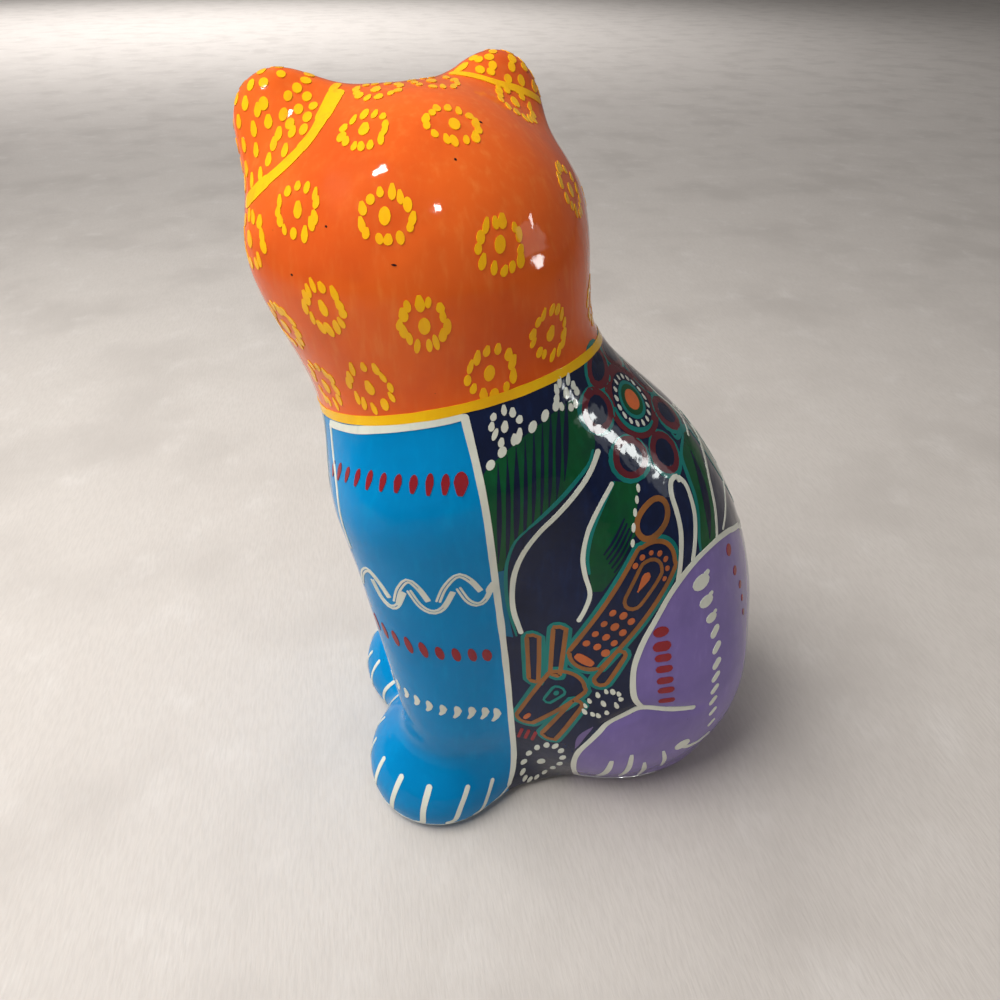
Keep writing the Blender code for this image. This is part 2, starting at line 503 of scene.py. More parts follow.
@dataclass(frozen=True)
class PaintFinish:
    """Brushed paint under clear lacquer.

    Attributes:
        slot: The record's material slot that the finish belongs to. It is not used here.
        colour: The paint where it is laid on fully.
        thin: The paint where the brush left less of it.
        dark: Colour of the deeper patches.
        patch: Width of the patches in millimetres.
        dark_share: How much the deeper patches show, from 0 to 1.
        streak: How many times longer than wide the brush marks are, along each axis.
        gloss: Roughness where the lacquer is clean, and where it is rubbed.
        wave: Depth in millimetres of the lacquer's slow waves.
        sheen: How strongly the lacquer mirrors its surroundings.
    """

    slot: str
    colour: Colour
    thin: Colour
    dark: Colour
    patch: float = 14.0
    dark_share: float = 0.6
    streak: Triple = (1.0, 1.0, 5.0)
    gloss: Pair = (0.05, 0.16)
    wave: float = 0.22
    sheen: float = 0.26

    def material(self, name: str) -> bpy.types.Material:
        """Make the finish's material.

        Args:
            name: The material's name.

        Returns:
            A procedural material on the piece's own coordinates.
        """
        sheet = Sheet(name)
        patches = sheet.level(sheet.clouds(self.patch, 4.0), 0.42, 0.72, 0.0, self.dark_share)
        strokes = sheet.level(sheet.clouds(1.6, 5.0, self.streak, 3.0), 0.45, 0.85, 0.0, 0.75)
        body = sheet.blend(strokes, self.colour, self.thin)
        body = sheet.blend(patches, body, self.dark)
        specks = sheet.level(sheet.clouds(1.1, 1.0, shift=7.0), 0.83, 0.87)
        body = sheet.blend(specks, body, tuple(part * 0.35 for part in self.dark))
        sheet.link(body, sheet.shader.inputs["Base Color"])
        rubbed = sheet.level(sheet.clouds(9.0, 6.0, shift=11.0), 0.5, 0.8, *self.gloss)
        sheet.link(rubbed, sheet.shader.inputs["Roughness"])
        waves = sheet.relief(sheet.clouds(7.0, 2.0, shift=5.0), self.wave)
        pores = sheet.relief(sheet.clouds(1.2, 3.0, shift=9.0), 0.012, waves)
        sheet.link(pores, sheet.shader.inputs["Normal"])
        sheet.shader.inputs["Specular IOR Level"].default_value = self.sheen
        return sheet.material


@dataclass(frozen=True)
class ClayFinish:
    """Bare fired clay, as on the underside.

    Attributes:
        colour: The clay's own colour.
        pale: Its paler patches.
        grit: Its dark grains.
    """

    colour: Colour = (0.42, 0.24, 0.15)
    pale: Colour = (0.56, 0.38, 0.27)
    grit: Colour = (0.16, 0.08, 0.05)

    def material(self, name: str) -> bpy.types.Material:
        """Make the clay's material.

        Args:
            name: The material's name.

        Returns:
            The material.
        """
        sheet = Sheet(name)
        body = sheet.blend(sheet.level(sheet.clouds(9.0, 5.0), 0.4, 0.7), self.colour, self.pale)
        body = sheet.blend(sheet.level(sheet.clouds(0.9, 2.0), 0.68, 0.74), body, self.grit)
        sheet.link(body, sheet.shader.inputs["Base Color"])
        sheet.link(sheet.level(sheet.clouds(3.0), 0.3, 0.7, 0.75, 0.95), sheet.shader.inputs["Roughness"])
        sheet.link(sheet.relief(sheet.clouds(0.7, 4.0), 0.08), sheet.shader.inputs["Normal"])
        return sheet.material


@dataclass(frozen=True)
class ClothFloorFinish:
    """Pale, slightly mottled cloth that the cat stands on.

    Attributes:
        colour: The cloth's own colour.
        shade: Its darker patches, and the gaps between its ribs.
        pale: Its paler wisps.
    """

    colour: Colour = (0.65, 0.60, 0.56)
    shade: Colour = (0.55, 0.505, 0.47)
    pale: Colour = (0.73, 0.685, 0.65)

    def material(self, name: str) -> bpy.types.Material:
        """Make the cloth's material.

        Args:
            name: The material's name.

        Returns:
            The material.
        """
        sheet = Sheet(name)
        mottle = sheet.level(sheet.clouds(70.0, 6.0), 0.42, 0.72, 0.0, 0.8)
        body = sheet.blend(mottle, self.colour, self.shade)
        wisps = sheet.level(sheet.clouds(22.0, 5.0, shift=4.0), 0.5, 0.85, 0.0, 0.7)
        body = sheet.blend(wisps, body, self.pale)
        ribs = sheet.clouds(0.9, 2.0, (5.0, 1.0, 1.0))
        body = sheet.blend(sheet.level(ribs, 0.35, 0.75, 0.0, 0.35), body, self.shade)
        sheet.link(body, sheet.shader.inputs["Base Color"])
        sheet.link(sheet.level(ribs, 0.3, 0.7, 0.8, 0.95), sheet.shader.inputs["Roughness"])
        sheet.link(sheet.relief(ribs, 0.12), sheet.shader.inputs["Normal"])
        sheet.shader.inputs["Specular IOR Level"].default_value = 0.2
        return sheet.material


class Coat(Enum):
    """The broad coats of the casting, in the order of their material slots."""

    NAVY = PaintFinish("painted_pottery", (0.007, 0.013, 0.048), (0.008, 0.022, 0.085),
                       (0.004, 0.007, 0.022), patch=18.0)
    ORANGE = PaintFinish("orange_glaze", (0.80, 0.128, 0.016), (0.84, 0.20, 0.036),
                         (0.56, 0.062, 0.009), patch=24.0)
    BLUE = PaintFinish("blue_glaze", (0.0, 0.235, 0.55), (0.0, 0.285, 0.61), (0.0, 0.165, 0.40), patch=30.0,
                       sheen=0.14)
    PURPLE = PaintFinish("purple_glaze", (0.210, 0.150, 0.43), (0.25, 0.18, 0.49), (0.165, 0.12, 0.35),
                         patch=12.0)
    CLAY = ClayFinish()


class Paint(Enum):
    """The colours that the brush lays over the coats."""

    YELLOW = PaintFinish("yellow_brushwork", (0.94, 0.49, 0.006), (0.86, 0.33, 0.012), (0.84, 0.38, 0.008))
    OCHRE = PaintFinish("yellow_brushwork", (0.90, 0.50, 0.008), (0.92, 0.58, 0.01), (0.72, 0.34, 0.01))
    WHITE = PaintFinish("white_brushwork", (0.74, 0.76, 0.67), (0.60, 0.66, 0.60), (0.62, 0.62, 0.52))
    RED = PaintFinish("red_brushwork", (0.30, 0.016, 0.022), (0.24, 0.03, 0.06), (0.22, 0.012, 0.02))
    MAROON = PaintFinish("red_brushwork", (0.13, 0.018, 0.026), (0.09, 0.02, 0.045), (0.07, 0.012, 0.02))
    GREEN = PaintFinish("green_brushwork", (0.004, 0.080, 0.025), (0.004, 0.11, 0.04),
                        (0.006, 0.040, 0.030), patch=9.0)
    TEAL = PaintFinish("teal_brushwork", (0.008, 0.20, 0.18), (0.01, 0.16, 0.17), (0.006, 0.12, 0.11))
    BROWN = PaintFinish("brown_brushwork", (0.31, 0.12, 0.034), (0.20, 0.10, 0.042), (0.15, 0.07, 0.028),
                        patch=8.0)
    ORANGE = PaintFinish("orange_glaze", (0.70, 0.16, 0.045), (0.55, 0.13, 0.05), (0.45, 0.09, 0.03))
    AMBER = PaintFinish("brown_brushwork", (0.56, 0.14, 0.045), (0.42, 0.12, 0.045), (0.30, 0.09, 0.035))
    NAVY = PaintFinish("painted_pottery", (0.007, 0.012, 0.042), (0.008, 0.020, 0.07),
                       (0.004, 0.008, 0.022))
    BLACK = PaintFinish("dark_brushwork", (0.010, 0.010, 0.014), (0.02, 0.02, 0.03), (0.005, 0.005, 0.008))
    PINK = PaintFinish("red_brushwork", (0.60, 0.10, 0.12), (0.68, 0.16, 0.17), (0.42, 0.05, 0.07))
    PURPLE = PaintFinish("purple_glaze", (0.17, 0.12, 0.30), (0.12, 0.09, 0.22), (0.10, 0.07, 0.19))
    BLUE = PaintFinish("blue_glaze", (0.0, 0.13, 0.26), (0.0, 0.15, 0.22), (0.0, 0.08, 0.18))

    def dress(self) -> bpy.types.Material:
        """Give this colour's material, made once and shared by its pieces."""
        name = f"{self.name.lower()}_paint"
        return bpy.data.materials.get(name) or self.value.material(name)


# ---------- The casting ----------


def inside(outline: Sequence[Pair], across: np.ndarray, height: np.ndarray) -> np.ndarray:
    """Tell which points lie inside a closed outline.

    Args:
        outline: The outline's corners.
        across: The points' first numbers.
        height: The points' second numbers.

    Returns:
        True for each point that lies inside.
    """
    within = np.zeros(across.shape, bool)
    for (x0, y0), (x1, y1) in zip(outline, [*outline[1:], outline[0]]):
        crosses = (y0 > height) != (y1 > height)
        rise = y1 - y0 if y1 != y0 else 1.0
        within ^= crosses & (across < x0 + (height - y0) * (x1 - x0) / rise)
    return within


@dataclass
class GlazedBody:
    """The casting's own surface, refined and coated in its broad colours.

    Attributes:
        levels: How many times each face is divided in four.
        weld: Distance under which the frame's loose corners are one, in metres.
        crown: Reach in millimetres of the smoothing round the crown's meeting point.
        crown_passes: How many times the crown is smoothed.
        crease: Depth in millimetres of the crease over each hind foot, and half its width.
        crease_zone: Where the crease may lie: how far to the side at least, and its lowest and highest
            height.
        name: Name of the piece.
    """

    levels: int = 2
    weld: float = 1e-6
    crown: float = 9.0
    crown_passes: int = 12
    crease: Pair = (0.7, 1.8)
    crease_zone: Triple = (30.0, 30.0, 60.0)
    name: str = "glazed_body"

    def build(self) -> Skin:
        """Make the body.

        Returns:
            Its surface, ready for brushwork.
        """
        edit = self.refined()
        self.soften_crown(edit)
        self.close_underside(edit)
        skin = Skin(edit)
        self.press_creases(edit, skin)
        skin = Skin(edit)
        mesh = bpy.data.meshes.new(self.name)
        edit.to_mesh(mesh)
        edit.free()
        self.coat(mesh)
        piece = add_to_scene(self.name, mesh)
        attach(piece, BODY)
        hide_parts(NODE)
        log.info("%s: %d faces", self.name, len(mesh.polygons))
        return skin

    def refined(self) -> bmesh.types.BMesh:
        """Give the casting's surface as fine quads, open underneath.

        Returns:
            The surface, in metres.
        """
        edit = bmesh.new()
        edit.from_mesh(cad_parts[NODE].data)
        bmesh.ops.remove_doubles(edit, verts=edit.verts, dist=self.weld)
        flat = [face for face in edit.faces if max(vertex.co.z for vertex in face.verts) < self.weld]
        bmesh.ops.delete(edit, geom=flat, context="FACES")
        bmesh.ops.join_triangles(edit, faces=edit.faces, angle_face_threshold=math.pi,
                                 angle_shape_threshold=math.pi)
        coarse = bpy.data.meshes.new("coarse_body")
        edit.to_mesh(coarse)
        helper = add_to_scene("coarse_body", coarse)
        divide = helper.modifiers.new("divide", "SUBSURF")
        divide.levels = divide.render_levels = self.levels
        bpy.context.view_layer.update()
        fine = helper.evaluated_get(bpy.context.evaluated_depsgraph_get()).data
        edit.clear()
        edit.from_mesh(fine)
        bpy.data.objects.remove(helper)
        bpy.data.meshes.remove(coarse)
        return edit

    def soften_crown(self, edit: bmesh.types.BMesh) -> None:
        """Relax the faces that meet at one point on top of the head.

        Args:
            edit: The surface, which is changed.
        """
        top = HEAD_MIDDLE.xy * MM
        near = [vertex for vertex in edit.verts
                if vertex.co.z > HEAD_MIDDLE.z * MM and (vertex.co.xy - top).length < self.crown * MM]
        for _ in range(self.crown_passes):
            bmesh.ops.smooth_vert(edit, verts=near, factor=0.5, use_axis_x=True, use_axis_y=True,
                                  use_axis_z=True)

    @staticmethod
    def close_underside(edit: bmesh.types.BMesh) -> None:
        """Fill the open underside with one flat face.

        Args:
            edit: The surface, which is changed.
        """
        rim = [item for item in edit.edges if item.is_boundary]
        bmesh.ops.contextual_create(edit, geom=rim)
        bmesh.ops.recalc_face_normals(edit, faces=edit.faces)

    def press_creases(self, edit: bmesh.types.BMesh, skin: Skin) -> None:
        """Press a soft crease along the top of each hind foot.

        Args:
            edit: The surface, which is changed.
            skin: The same surface, for finding the crease's line.
        """
        depth, spread = self.crease
        outer, lowest, highest = (limit * MM for limit in self.crease_zone)
        for hand in Hand:
            chart = FlatChart.side(hand)
            line = [chart.spot(skin, *place).point for place in (*FOOT_EDGE[2::-1], *CREASE_END)]
            run = np.array(smooth_line(line, 0.5 * MM))
            for vertex in edit.verts:
                if vertex.co.x * hand.value < outer or not lowest < vertex.co.z < highest:
                    continue
                gap = np.linalg.norm(run - np.array(vertex.co), axis=1).min() / MM
                if gap < 4 * spread:
                    vertex.co.x -= hand.value * depth * MM * math.exp(-((gap / spread) ** 2))

    @staticmethod
    def coat(mesh: bpy.types.Mesh) -> None:
        """Give each face the coat of the area it lies in.

        Args:
            mesh: The body's mesh.
        """
        coats = list(Coat)
        for coat in coats:
            mesh.materials.append(coat.value.material(f"{coat.name.lower()}_coat"))
        middle = np.empty(len(mesh.polygons) * 3, np.float32)
        mesh.polygons.foreach_get("center", middle)
        x, y, z = middle.reshape(-1, 3).T / MM - np.array(BODY_MIDDLE)[:, None]
        worn = np.full(len(mesh.polygons), coats.index(Coat.NAVY))
        haunch = [(70.0, 66.0), *HAUNCH_EDGE, *FOOT_EDGE[1:], (6.0, 0.0), (70.0, 0.0)]
        worn[inside(haunch, y, z)] = coats.index(Coat.PURPLE)
        edge = np.array(PANEL_EDGE[::-1])
        worn[y < np.interp(z, edge[:, 1], edge[:, 0])] = coats.index(Coat.BLUE)
        collar = COLLAR_HEIGHT + COLLAR_SLOPE[0] * x + COLLAR_SLOPE[1] * y
        worn[z > collar] = coats.index(Coat.ORANGE)
        worn[z < SOLE] = coats.index(Coat.CLAY)
        mesh.polygons.foreach_set("material_index", worn.astype(np.int32))
        mesh.shade_smooth()
        mesh.set_sharp_from_angle(angle=math.radians(COAT_SHARP))


# ---------- The brush ----------


class Tip(Enum):
    """How a stroke's width runs from its start to its end."""

    ROUND = "round at both ends"
    DROP = "pointed at its start and round at its end"
    BUD = "narrow but blunt at its start and round at its end"
    OVAL = "an oval"
    LEAF = "pointed at both ends"
    COMMA = "a round head that thins to a tail"
    TAPER = "thins towards both ends"

    def fullness(self, share: float, slender: float) -> float:
        """Give the stroke's width at a point, as a share of its full width.

        Args:
            share: How far along the stroke the point is, from 0 to 1.
            slender: The stroke's length over its width.

        Returns:
            The share of the full width, never quite 0.
        """
        if self is Tip.ROUND:
            near = min(share, 1.0 - share) * slender * 2.0
            full = math.sqrt(1.0 - (1.0 - min(near, 1.0)) ** 2)
        elif self is Tip.DROP:
            back = max(0.0, share - 0.62) / 0.38
            full = min(1.0, share / 0.62) ** 0.85 * math.sqrt(max(0.0, 1.0 - back**2))
        elif self is Tip.BUD:
            back = max(0.0, share - 0.55) / 0.45
            full = min(1.0, 0.34 + 0.66 * (share / 0.55) ** 0.7) * math.sqrt(max(0.0, 1.0 - back**2))
        elif self is Tip.OVAL:
            full = math.sqrt(max(0.0, 1.0 - (2.0 * share - 1.0) ** 2))
        elif self is Tip.LEAF:
            full = math.sin(math.pi * share) ** 0.8 if 0.0 < share < 1.0 else 0.0
        elif self is Tip.COMMA:
            front = max(0.0, 0.28 - share) / 0.28
            full = math.sqrt(1.0 - front**2) * (1.0 - max(0.0, share - 0.28) / 0.72) ** 0.9
        else:
            full = 0.45 + 0.55 * math.sin(math.pi * min(max(share, 0.0), 1.0)) ** 0.5
        return max(full, 0.16)

    @property
    def shares(self) -> tuple[float, ...]:
        """Where a short mark of this kind has its rows.

        Returns:
            Where each row is, from 0 to 1 along the mark.
        """
        if self in (Tip.DROP, Tip.BUD, Tip.COMMA):
            return (0.0, 0.12, 0.3, 0.55, 0.8, 0.93, 1.0)
        return (0.0, 0.08, 0.24, 0.5, 0.76, 0.92, 1.0)


# Height of each kind of film over the skin, and how thick every film is, so that it sinks into the coat.
FILL_LIFT = 0.05
SHADE_LIFT = 0.08
EDGE_LIFT = 0.10
LINE_LIFT = 0.13
DOT_LIFT = 0.16
FILM = 0.26

# How finely a stroke's line is followed, how far apart the rows of a long stroke are, and about how wide
# the faces of strokes and of filled areas are. A stroke shorter than SHORT_MARK has its rows where its tip
# says; a longer one has these rows in each of its round ends.
LINE_STEP = 0.4
LONG_STEP = 1.1
STROKE_FACE = 1.6
FILL_FACE = 1.3
SHORT_MARK = 7.0
CAP_ROWS = (0.0, 0.1, 0.3, 0.6, 1.0)

# How much a stroke's width strays, and over what length.
WOBBLE = 0.14
WOBBLE_LENGTH = 6.0

# With its piece's name, this starts each brush's own chance, for the small unevenness of a hand.
SEED = 1


class Brush:
    """Lays films of one colour on the skin and gathers them into one piece."""

    def __init__(self, skin: Skin, name: str, paint: Paint, lift: float = LINE_LIFT) -> None:
        """Load the brush.

        Args:
            skin: What is painted.
            name: The name of the piece that the films become.
            paint: The colour.
            lift: Height of the films over the skin, in millimetres.
        """
        self.skin = skin
        self.name = name
        self.paint = paint
        self.lift = lift
        self.chance = random.Random(f"{name} {SEED}")
        self.edit = bmesh.new()
        self.out = self.edit.verts.layers.float_vector.new("out")

    def film(self, rows: Sequence[Sequence[Spot]]) -> None:
        """Lay one film.

        Args:
            rows: Its places on the skin, row by row, each row with as many as the first.
        """
        middle = rows[len(rows) // 2]
        along = rows[len(rows) // 2 + 1 - len(rows) % 2][0].point - rows[len(rows) // 2 - 1][0].point
        across = middle[-1].point - middle[0].point
        turned = across.cross(along).dot(middle[len(middle) // 2].normal) < 0.0
        made = bmesh.ops.create_grid(self.edit, x_segments=len(rows[0]) - 1, y_segments=len(rows) - 1,
                                     size=0.5)
        spots = [spot for row in rows for spot in (reversed(row) if turned else row)]
        for vertex, spot in zip(made["verts"], spots):
            vertex.co = spot.point + spot.normal * (self.lift - FILM) * MM
            vertex[self.out] = spot.normal

    def stroke(self, path: Sequence[Spot], width: float, tip: Tip = Tip.ROUND, closed: bool = False,
               shift: float = 0.0) -> None:
        """Lay one stroke along a smooth line.

        Args:
            path: Places that the line passes through.
            width: The stroke's full width in millimetres.
            tip: How the width runs.
            closed: True if the line comes back to where it began.
            shift: How far the stroke lies to the right of the line, in millimetres.
        """
        line = smooth_line([spot.point for spot in path], LINE_STEP * MM, closed)
        length = (len(line) - 1) * (line[1] - line[0]).length / MM
        slender = length / width
        if length < SHORT_MARK and not closed:
            shares = list(tip.shares)
        else:
            ends = CAP_ROWS[:1] if closed else CAP_ROWS
            count = max(2, round(length / LONG_STEP))
            caps = [near * width / 2 / length for near in ends]
            middle = [caps[-1] + (1.0 - 2 * caps[-1]) * step / count for step in range(1, count)]
            shares = caps + middle + [1.0 - cap for cap in reversed(caps)]
        columns = max(2, math.ceil(width / STROKE_FACE))
        phase = Vector((self.chance.uniform(0, 99), self.chance.uniform(0, 99), 0.0))
        rows = []
        for share in shares:
            at = share * (len(line) - 1)
            low = min(int(at), len(line) - 2)
            centre = line[low].lerp(line[low + 1], at - low)
            ahead = (line[min(low + 2, len(line) - 1)] - line[max(low - 1, 0)]).normalized()
            spot = self.skin.nearest(centre)
            across = ahead.cross(spot.normal).normalized()
            uneven = 1.0 + WOBBLE * noise.noise(phase + Vector((share * length / WOBBLE_LENGTH, 0, 0)))
            half = width / 2 * uneven * (1.0 if closed else tip.fullness(share, slender))
            rows.append([self.skin.nearest(centre + across * (shift + half * (2 * k / columns - 1)) * MM)
                         for k in range(columns + 1)])
        self.film(rows)

    def fill(self, left: Sequence[Spot], right: Sequence[Spot]) -> None:
        """Fill the area between two smooth edges that start at one end of it.

        Args:
            left: Places along one edge.
            right: Places along the other.
        """
        edges = [smooth_line([spot.point for spot in edge], LINE_STEP * MM) for edge in (left, right)]
        lengths = [(len(edge) - 1) * (edge[1] - edge[0]).length / MM for edge in edges]
        count = max(4, round(max(lengths) / FILL_FACE))
        pairs = []
        for step in range(count + 1):
            ends = []
            for edge in edges:
                at = step / count * (len(edge) - 1)
                low = min(int(at), len(edge) - 2)
                ends.append(edge[low].lerp(edge[low + 1], at - low))
            pairs.append(ends)
        widest = max((first - last).length for first, last in pairs) / MM
        columns = max(2, round(widest / FILL_FACE))
        self.film([[self.skin.nearest(first.lerp(last, k / columns)) for k in range(columns + 1)]
                   for first, last in pairs])

    def dab(self, easel: Easel, across: float, up: float, length: float, width: float, angle: float = 90.0,
            tip: Tip = Tip.DROP) -> None:
        """Press the brush down once.

        Args:
            easel: The drawing frame.
            across: Where the dab's middle is, across the drawing.
            up: Where the dab's middle is, up the drawing.
            length: The dab's length.
            width: Its width.
            angle: Which way the dab's start points, in degrees from across.
            tip: Its shape.
        """
        turn = math.radians(angle)
        reach_across, reach_up = length / 2 * math.cos(turn), length / 2 * math.sin(turn)
        path = [easel.spot(across + reach_across * way, up + reach_up * way) for way in (1, 0, -1)]
        self.stroke(path, width, tip)

    def uneven(self, value: float, share: float) -> float:
        """Give a value that strays from the given one by up to this share of it."""
        return value * (1.0 + self.chance.uniform(-share, share))

    def rosette(self, easel: Easel, radius: float, dabs: int, size: Pair,
                centre: Pair, angle: float = 90.0, stretch: float = 1.0) -> None:
        """Lay a ring of dabs, all pointing one way, round a larger one.

        Args:
            easel: The drawing frame.
            radius: Radius of the ring.
            dabs: How many dabs the ring has.
            size: Length and width of a dab.
            centre: Length and width of the one in the middle.
            angle: Which way the dabs point.
            stretch: The ring's height over its width.
        """
        start = self.chance.uniform(0, 360)
        for item in range(dabs):
            turn = math.radians(start + 360 * (item + self.chance.uniform(-0.22, 0.22)) / dabs)
            reach = self.uneven(radius, 0.08)
            tip = self.chance.choice((Tip.BUD, Tip.BUD, Tip.OVAL))
            self.dab(easel, reach * math.cos(turn), reach * stretch * math.sin(turn),
                     self.uneven(size[0], 0.25), self.uneven(size[1], 0.22),
                     angle + self.chance.uniform(-14, 14), tip)
        tip = self.chance.choice((Tip.BUD, Tip.OVAL))
        self.dab(easel, self.chance.uniform(-0.4, 0.4), self.chance.uniform(-0.4, 0.4), *centre, angle, tip)

    def done(self) -> bpy.types.Object:
        """Give every film its thickness and make the piece.

        Returns:
            The finished piece, riding on the cat.
        """
        under = self.edit.faces[:]
        raised = bmesh.ops.extrude_face_region(self.edit, geom=under, use_keep_orig=True)
        for item in raised["geom"]:
            if isinstance(item, bmesh.types.BMVert):
                item.co += item[self.out] * FILM * MM
        bmesh.ops.reverse_faces(self.edit, faces=under)
        self.edit.verts.layers.float_vector.remove(self.out)
        mesh = bpy.data.meshes.new(self.name)
        self.edit.to_mesh(mesh)
        self.edit.free()
        mesh.materials.append(self.paint.dress())
        mesh.shade_smooth()
        mesh.set_sharp_from_angle(angle=math.radians(FILM_SHARP))
        piece = add_to_scene(self.name, mesh)
        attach(piece, BODY)
        log.info("%s: %d faces", self.name, len(mesh.polygons))
        return piece


def spots(skin: Skin, chart: Chart, *places: Pair) -> list[Spot]:
    """Give the places on the skin that these places of a chart name."""
    return [chart.spot(skin, *place) for place in places]


# ---------- Head ----------


@dataclass
class HeadBrushwork:
    """The yellow rosettes, ear bands, ear dots and collar band of the orange head.

    Attributes:
        rosettes: Bearing and rise of each rosette on the side that shows.
        far_rosettes: The same for the plainer side.
        radius: Radius of a rosette's ring.
        dab: Length and width of a dab in a ring.
        centre: Length and width of a rosette's middle dab.
        held: Which way was up for the painter, who held the cat tilted.
        near_rows: Rows of dots on the back of the left ear: rise, first and last bearing, and how many.
        far_rows: The same for the right ear.
        ear: Rise of the ears' topmost rows, and how far below them the lowest row is.
        inner_dots: Dots inside an ear: bearing and rise.
        specks: Small dark flecks in the glaze.
    """

    rosettes: Pairs = (
        (144, 49), (-171, 48), (134, 75), (-121, 77), (-103, 47), (122, 21), (155, 18), (-171, 5),
        (-125, 15), (130, -8), (162, -14), (-154, -24), (-178, -31), (138, -34), (105, -16), (112, -37),
        (101, 11), (-119, -22))
    far_rosettes: Pairs = (
        (-96, 8), (-80, -14), (-58, -22), (-66, 16), (70, 12), (66, -24), (0, 44), (0, 68), (-50, 40),
        (50, 38))
    radius: float = 4.4
    dab: Pair = (2.55, 1.5)
    centre: Pair = (3.2, 2.1)
    held: Vector = field(default_factory=lambda: Vector((-0.6, 0.1, 0.8)))
    near_rows: tuple[tuple[float, float, float, int], ...] = (
        (62.5, 76.0, 84.0, 2), (58.0, 75.0, 102.0, 5), (53.5, 77.5, 104.0, 5), (49.0, 75.0, 107.0, 6),
        (44.5, 78.0, 104.0, 6), (40.0, 76.0, 105.0, 5), (35.5, 79.0, 100.0, 4), (31.0, 81.0, 98.0, 3),
        (26.5, 88.0, 96.0, 2))
    far_rows: tuple[tuple[float, float, float, int], ...] = (
        (61.0, -75.0, -87.0, 3), (57.0, -77.0, -90.0, 4), (52.5, -74.0, -91.0, 5), (48.0, -76.0, -89.0, 4),
        (43.5, -74.0, -87.0, 3), (39.5, -76.0, -83.0, 2))
    ear: Pair = (62.0, 35.0)
    inner_dots: Pairs = ((62, 50), (68, 49), (65, 54), (70, 56), (62, 58), (72, 47))
    specks: Pairs = ((156, 4), (134.6, 16), (-155, 46.4), (-178, 33), (120, 2))

    def build(self, skin: Skin) -> None:
        """Paint the head.

        Args:
            skin: What is painted.
        """
        self.paint_rosettes(skin)
        self.paint_ears(skin)
        self.paint_collar(skin)
        flecks = Brush(skin, "glaze_specks", Paint.BLACK, EDGE_LIFT)
        for place in self.specks:
            easel = Easel.at(skin, HeadChart().spot(skin, *place), self.held, flecks.chance.uniform(0, 90))
            flecks.dab(easel, 0, 0, flecks.uneven(0.8, 0.4), 0.4, 90, Tip.LEAF)
        flecks.done()

    def paint_rosettes(self, skin: Skin) -> None:
        """Lay the rosettes all over the head.

        Args:
            skin: What is painted.
        """
        chart = HeadChart()
        for name, places in (("head_rosettes", self.rosettes), ("far_head_rosettes", self.far_rosettes)):
            brush = Brush(skin, name, Paint.YELLOW)
            for place in places:
                spot = chart.spot(skin, *place)
                top = self.held if name == "head_rosettes" else UP
                easel = Easel.at(skin, spot, top)
                dabs = brush.chance.choice((12, 13, 13, 14))
                brush.rosette(easel, brush.uneven(self.radius, 0.07), dabs, self.dab, self.centre)
            brush.done()

    def paint_ears(self, skin: Skin) -> None:
        """Lay a band across the base of each ear and dots over its back.

        Args:
            skin: What is painted.
        """
        bands = Brush(skin, "ear_bands", Paint.YELLOW)
        chart = HeadChart()
        near = spots(skin, chart, (96, 68), (109, 60), (114, 52), (114.5, 45.5), (112.5, 39.8), (109, 34.4),
                     (105, 29.8), (99.5, 24.6), (94, 20.5))
        bands.stroke(near[:3], 3.3)
        bands.stroke(near[1:5], 2.6)
        bands.stroke(near[3:], 2.3)
        bands.stroke(near[6:], 2.9)
        bands.stroke(spots(skin, chart, (82, 70), (90, 68), (97, 65)), 1.6, Tip.TAPER)
        bands.stroke(spots(skin, chart, (-79.5, 70), (-88, 66.6), (-92.5, 62.8), (-95, 58.2), (-95.5, 53.6),
                           (-94.2, 49), (-92, 44), (-88, 38.6)), 1.7)
        bands.stroke(spots(skin, chart, (-81.5, 68), (-79, 65.6), (-76, 63.6)), 1.8, Tip.TAPER)
        bands.done()
        dots = Brush(skin, "ear_dots", Paint.YELLOW)
        for rise, first, last, count in (*self.near_rows, *self.far_rows):
            slim = (self.ear[0] - rise) / self.ear[1]
            for item in range(count):
                bearing = first + (last - first) * item / (count - 1) + dots.chance.uniform(-1.2, 1.2)
                spot = chart.spot(skin, bearing, rise + dots.chance.uniform(-1.3, 1.3))
                dots.dab(Easel.at(skin, spot, self.held), 0, 0, dots.uneven(2.1 + 1.1 * slim, 0.12),
                         dots.uneven(2.0 - 0.7 * slim, 0.1), 90 + dots.chance.uniform(-8, 8),
                         Tip.BUD if slim > 0.4 else Tip.OVAL)
        for hand in Hand:
            for place in self.inner_dots:
                easel = Easel.on(skin, HeadChart(hand), *place)
                dots.dab(easel, 0, 0, dots.uneven(2.6, 0.1), 1.5, 90, Tip.BUD)
        dots.done()

    @staticmethod
    def collar_spot(skin: Skin, bearing: float) -> Spot:
        """Give the place where the collar's plane meets the skin at a bearing.

        Args:
            skin: The skin.
            bearing: The bearing.

        Returns:
            The place on the skin.
        """
        chart = RoundChart()
        height = COLLAR_HEIGHT
        for _ in range(4):
            point = chart.spot(skin, bearing, height).point / MM - BODY_MIDDLE
            height = COLLAR_HEIGHT + COLLAR_SLOPE[0] * point.x + COLLAR_SLOPE[1] * point.y
        return chart.spot(skin, bearing, height)

    def paint_collar(self, skin: Skin) -> None:
        """Lay the band where the orange ends.

        Args:
            skin: What is painted.
        """
        band = Brush(skin, "collar_band", Paint.OCHRE, DOT_LIFT)
        band.stroke([self.collar_spot(skin, bearing) for bearing in range(-180, 180, 12)], 2.0, closed=True)
        band.done()


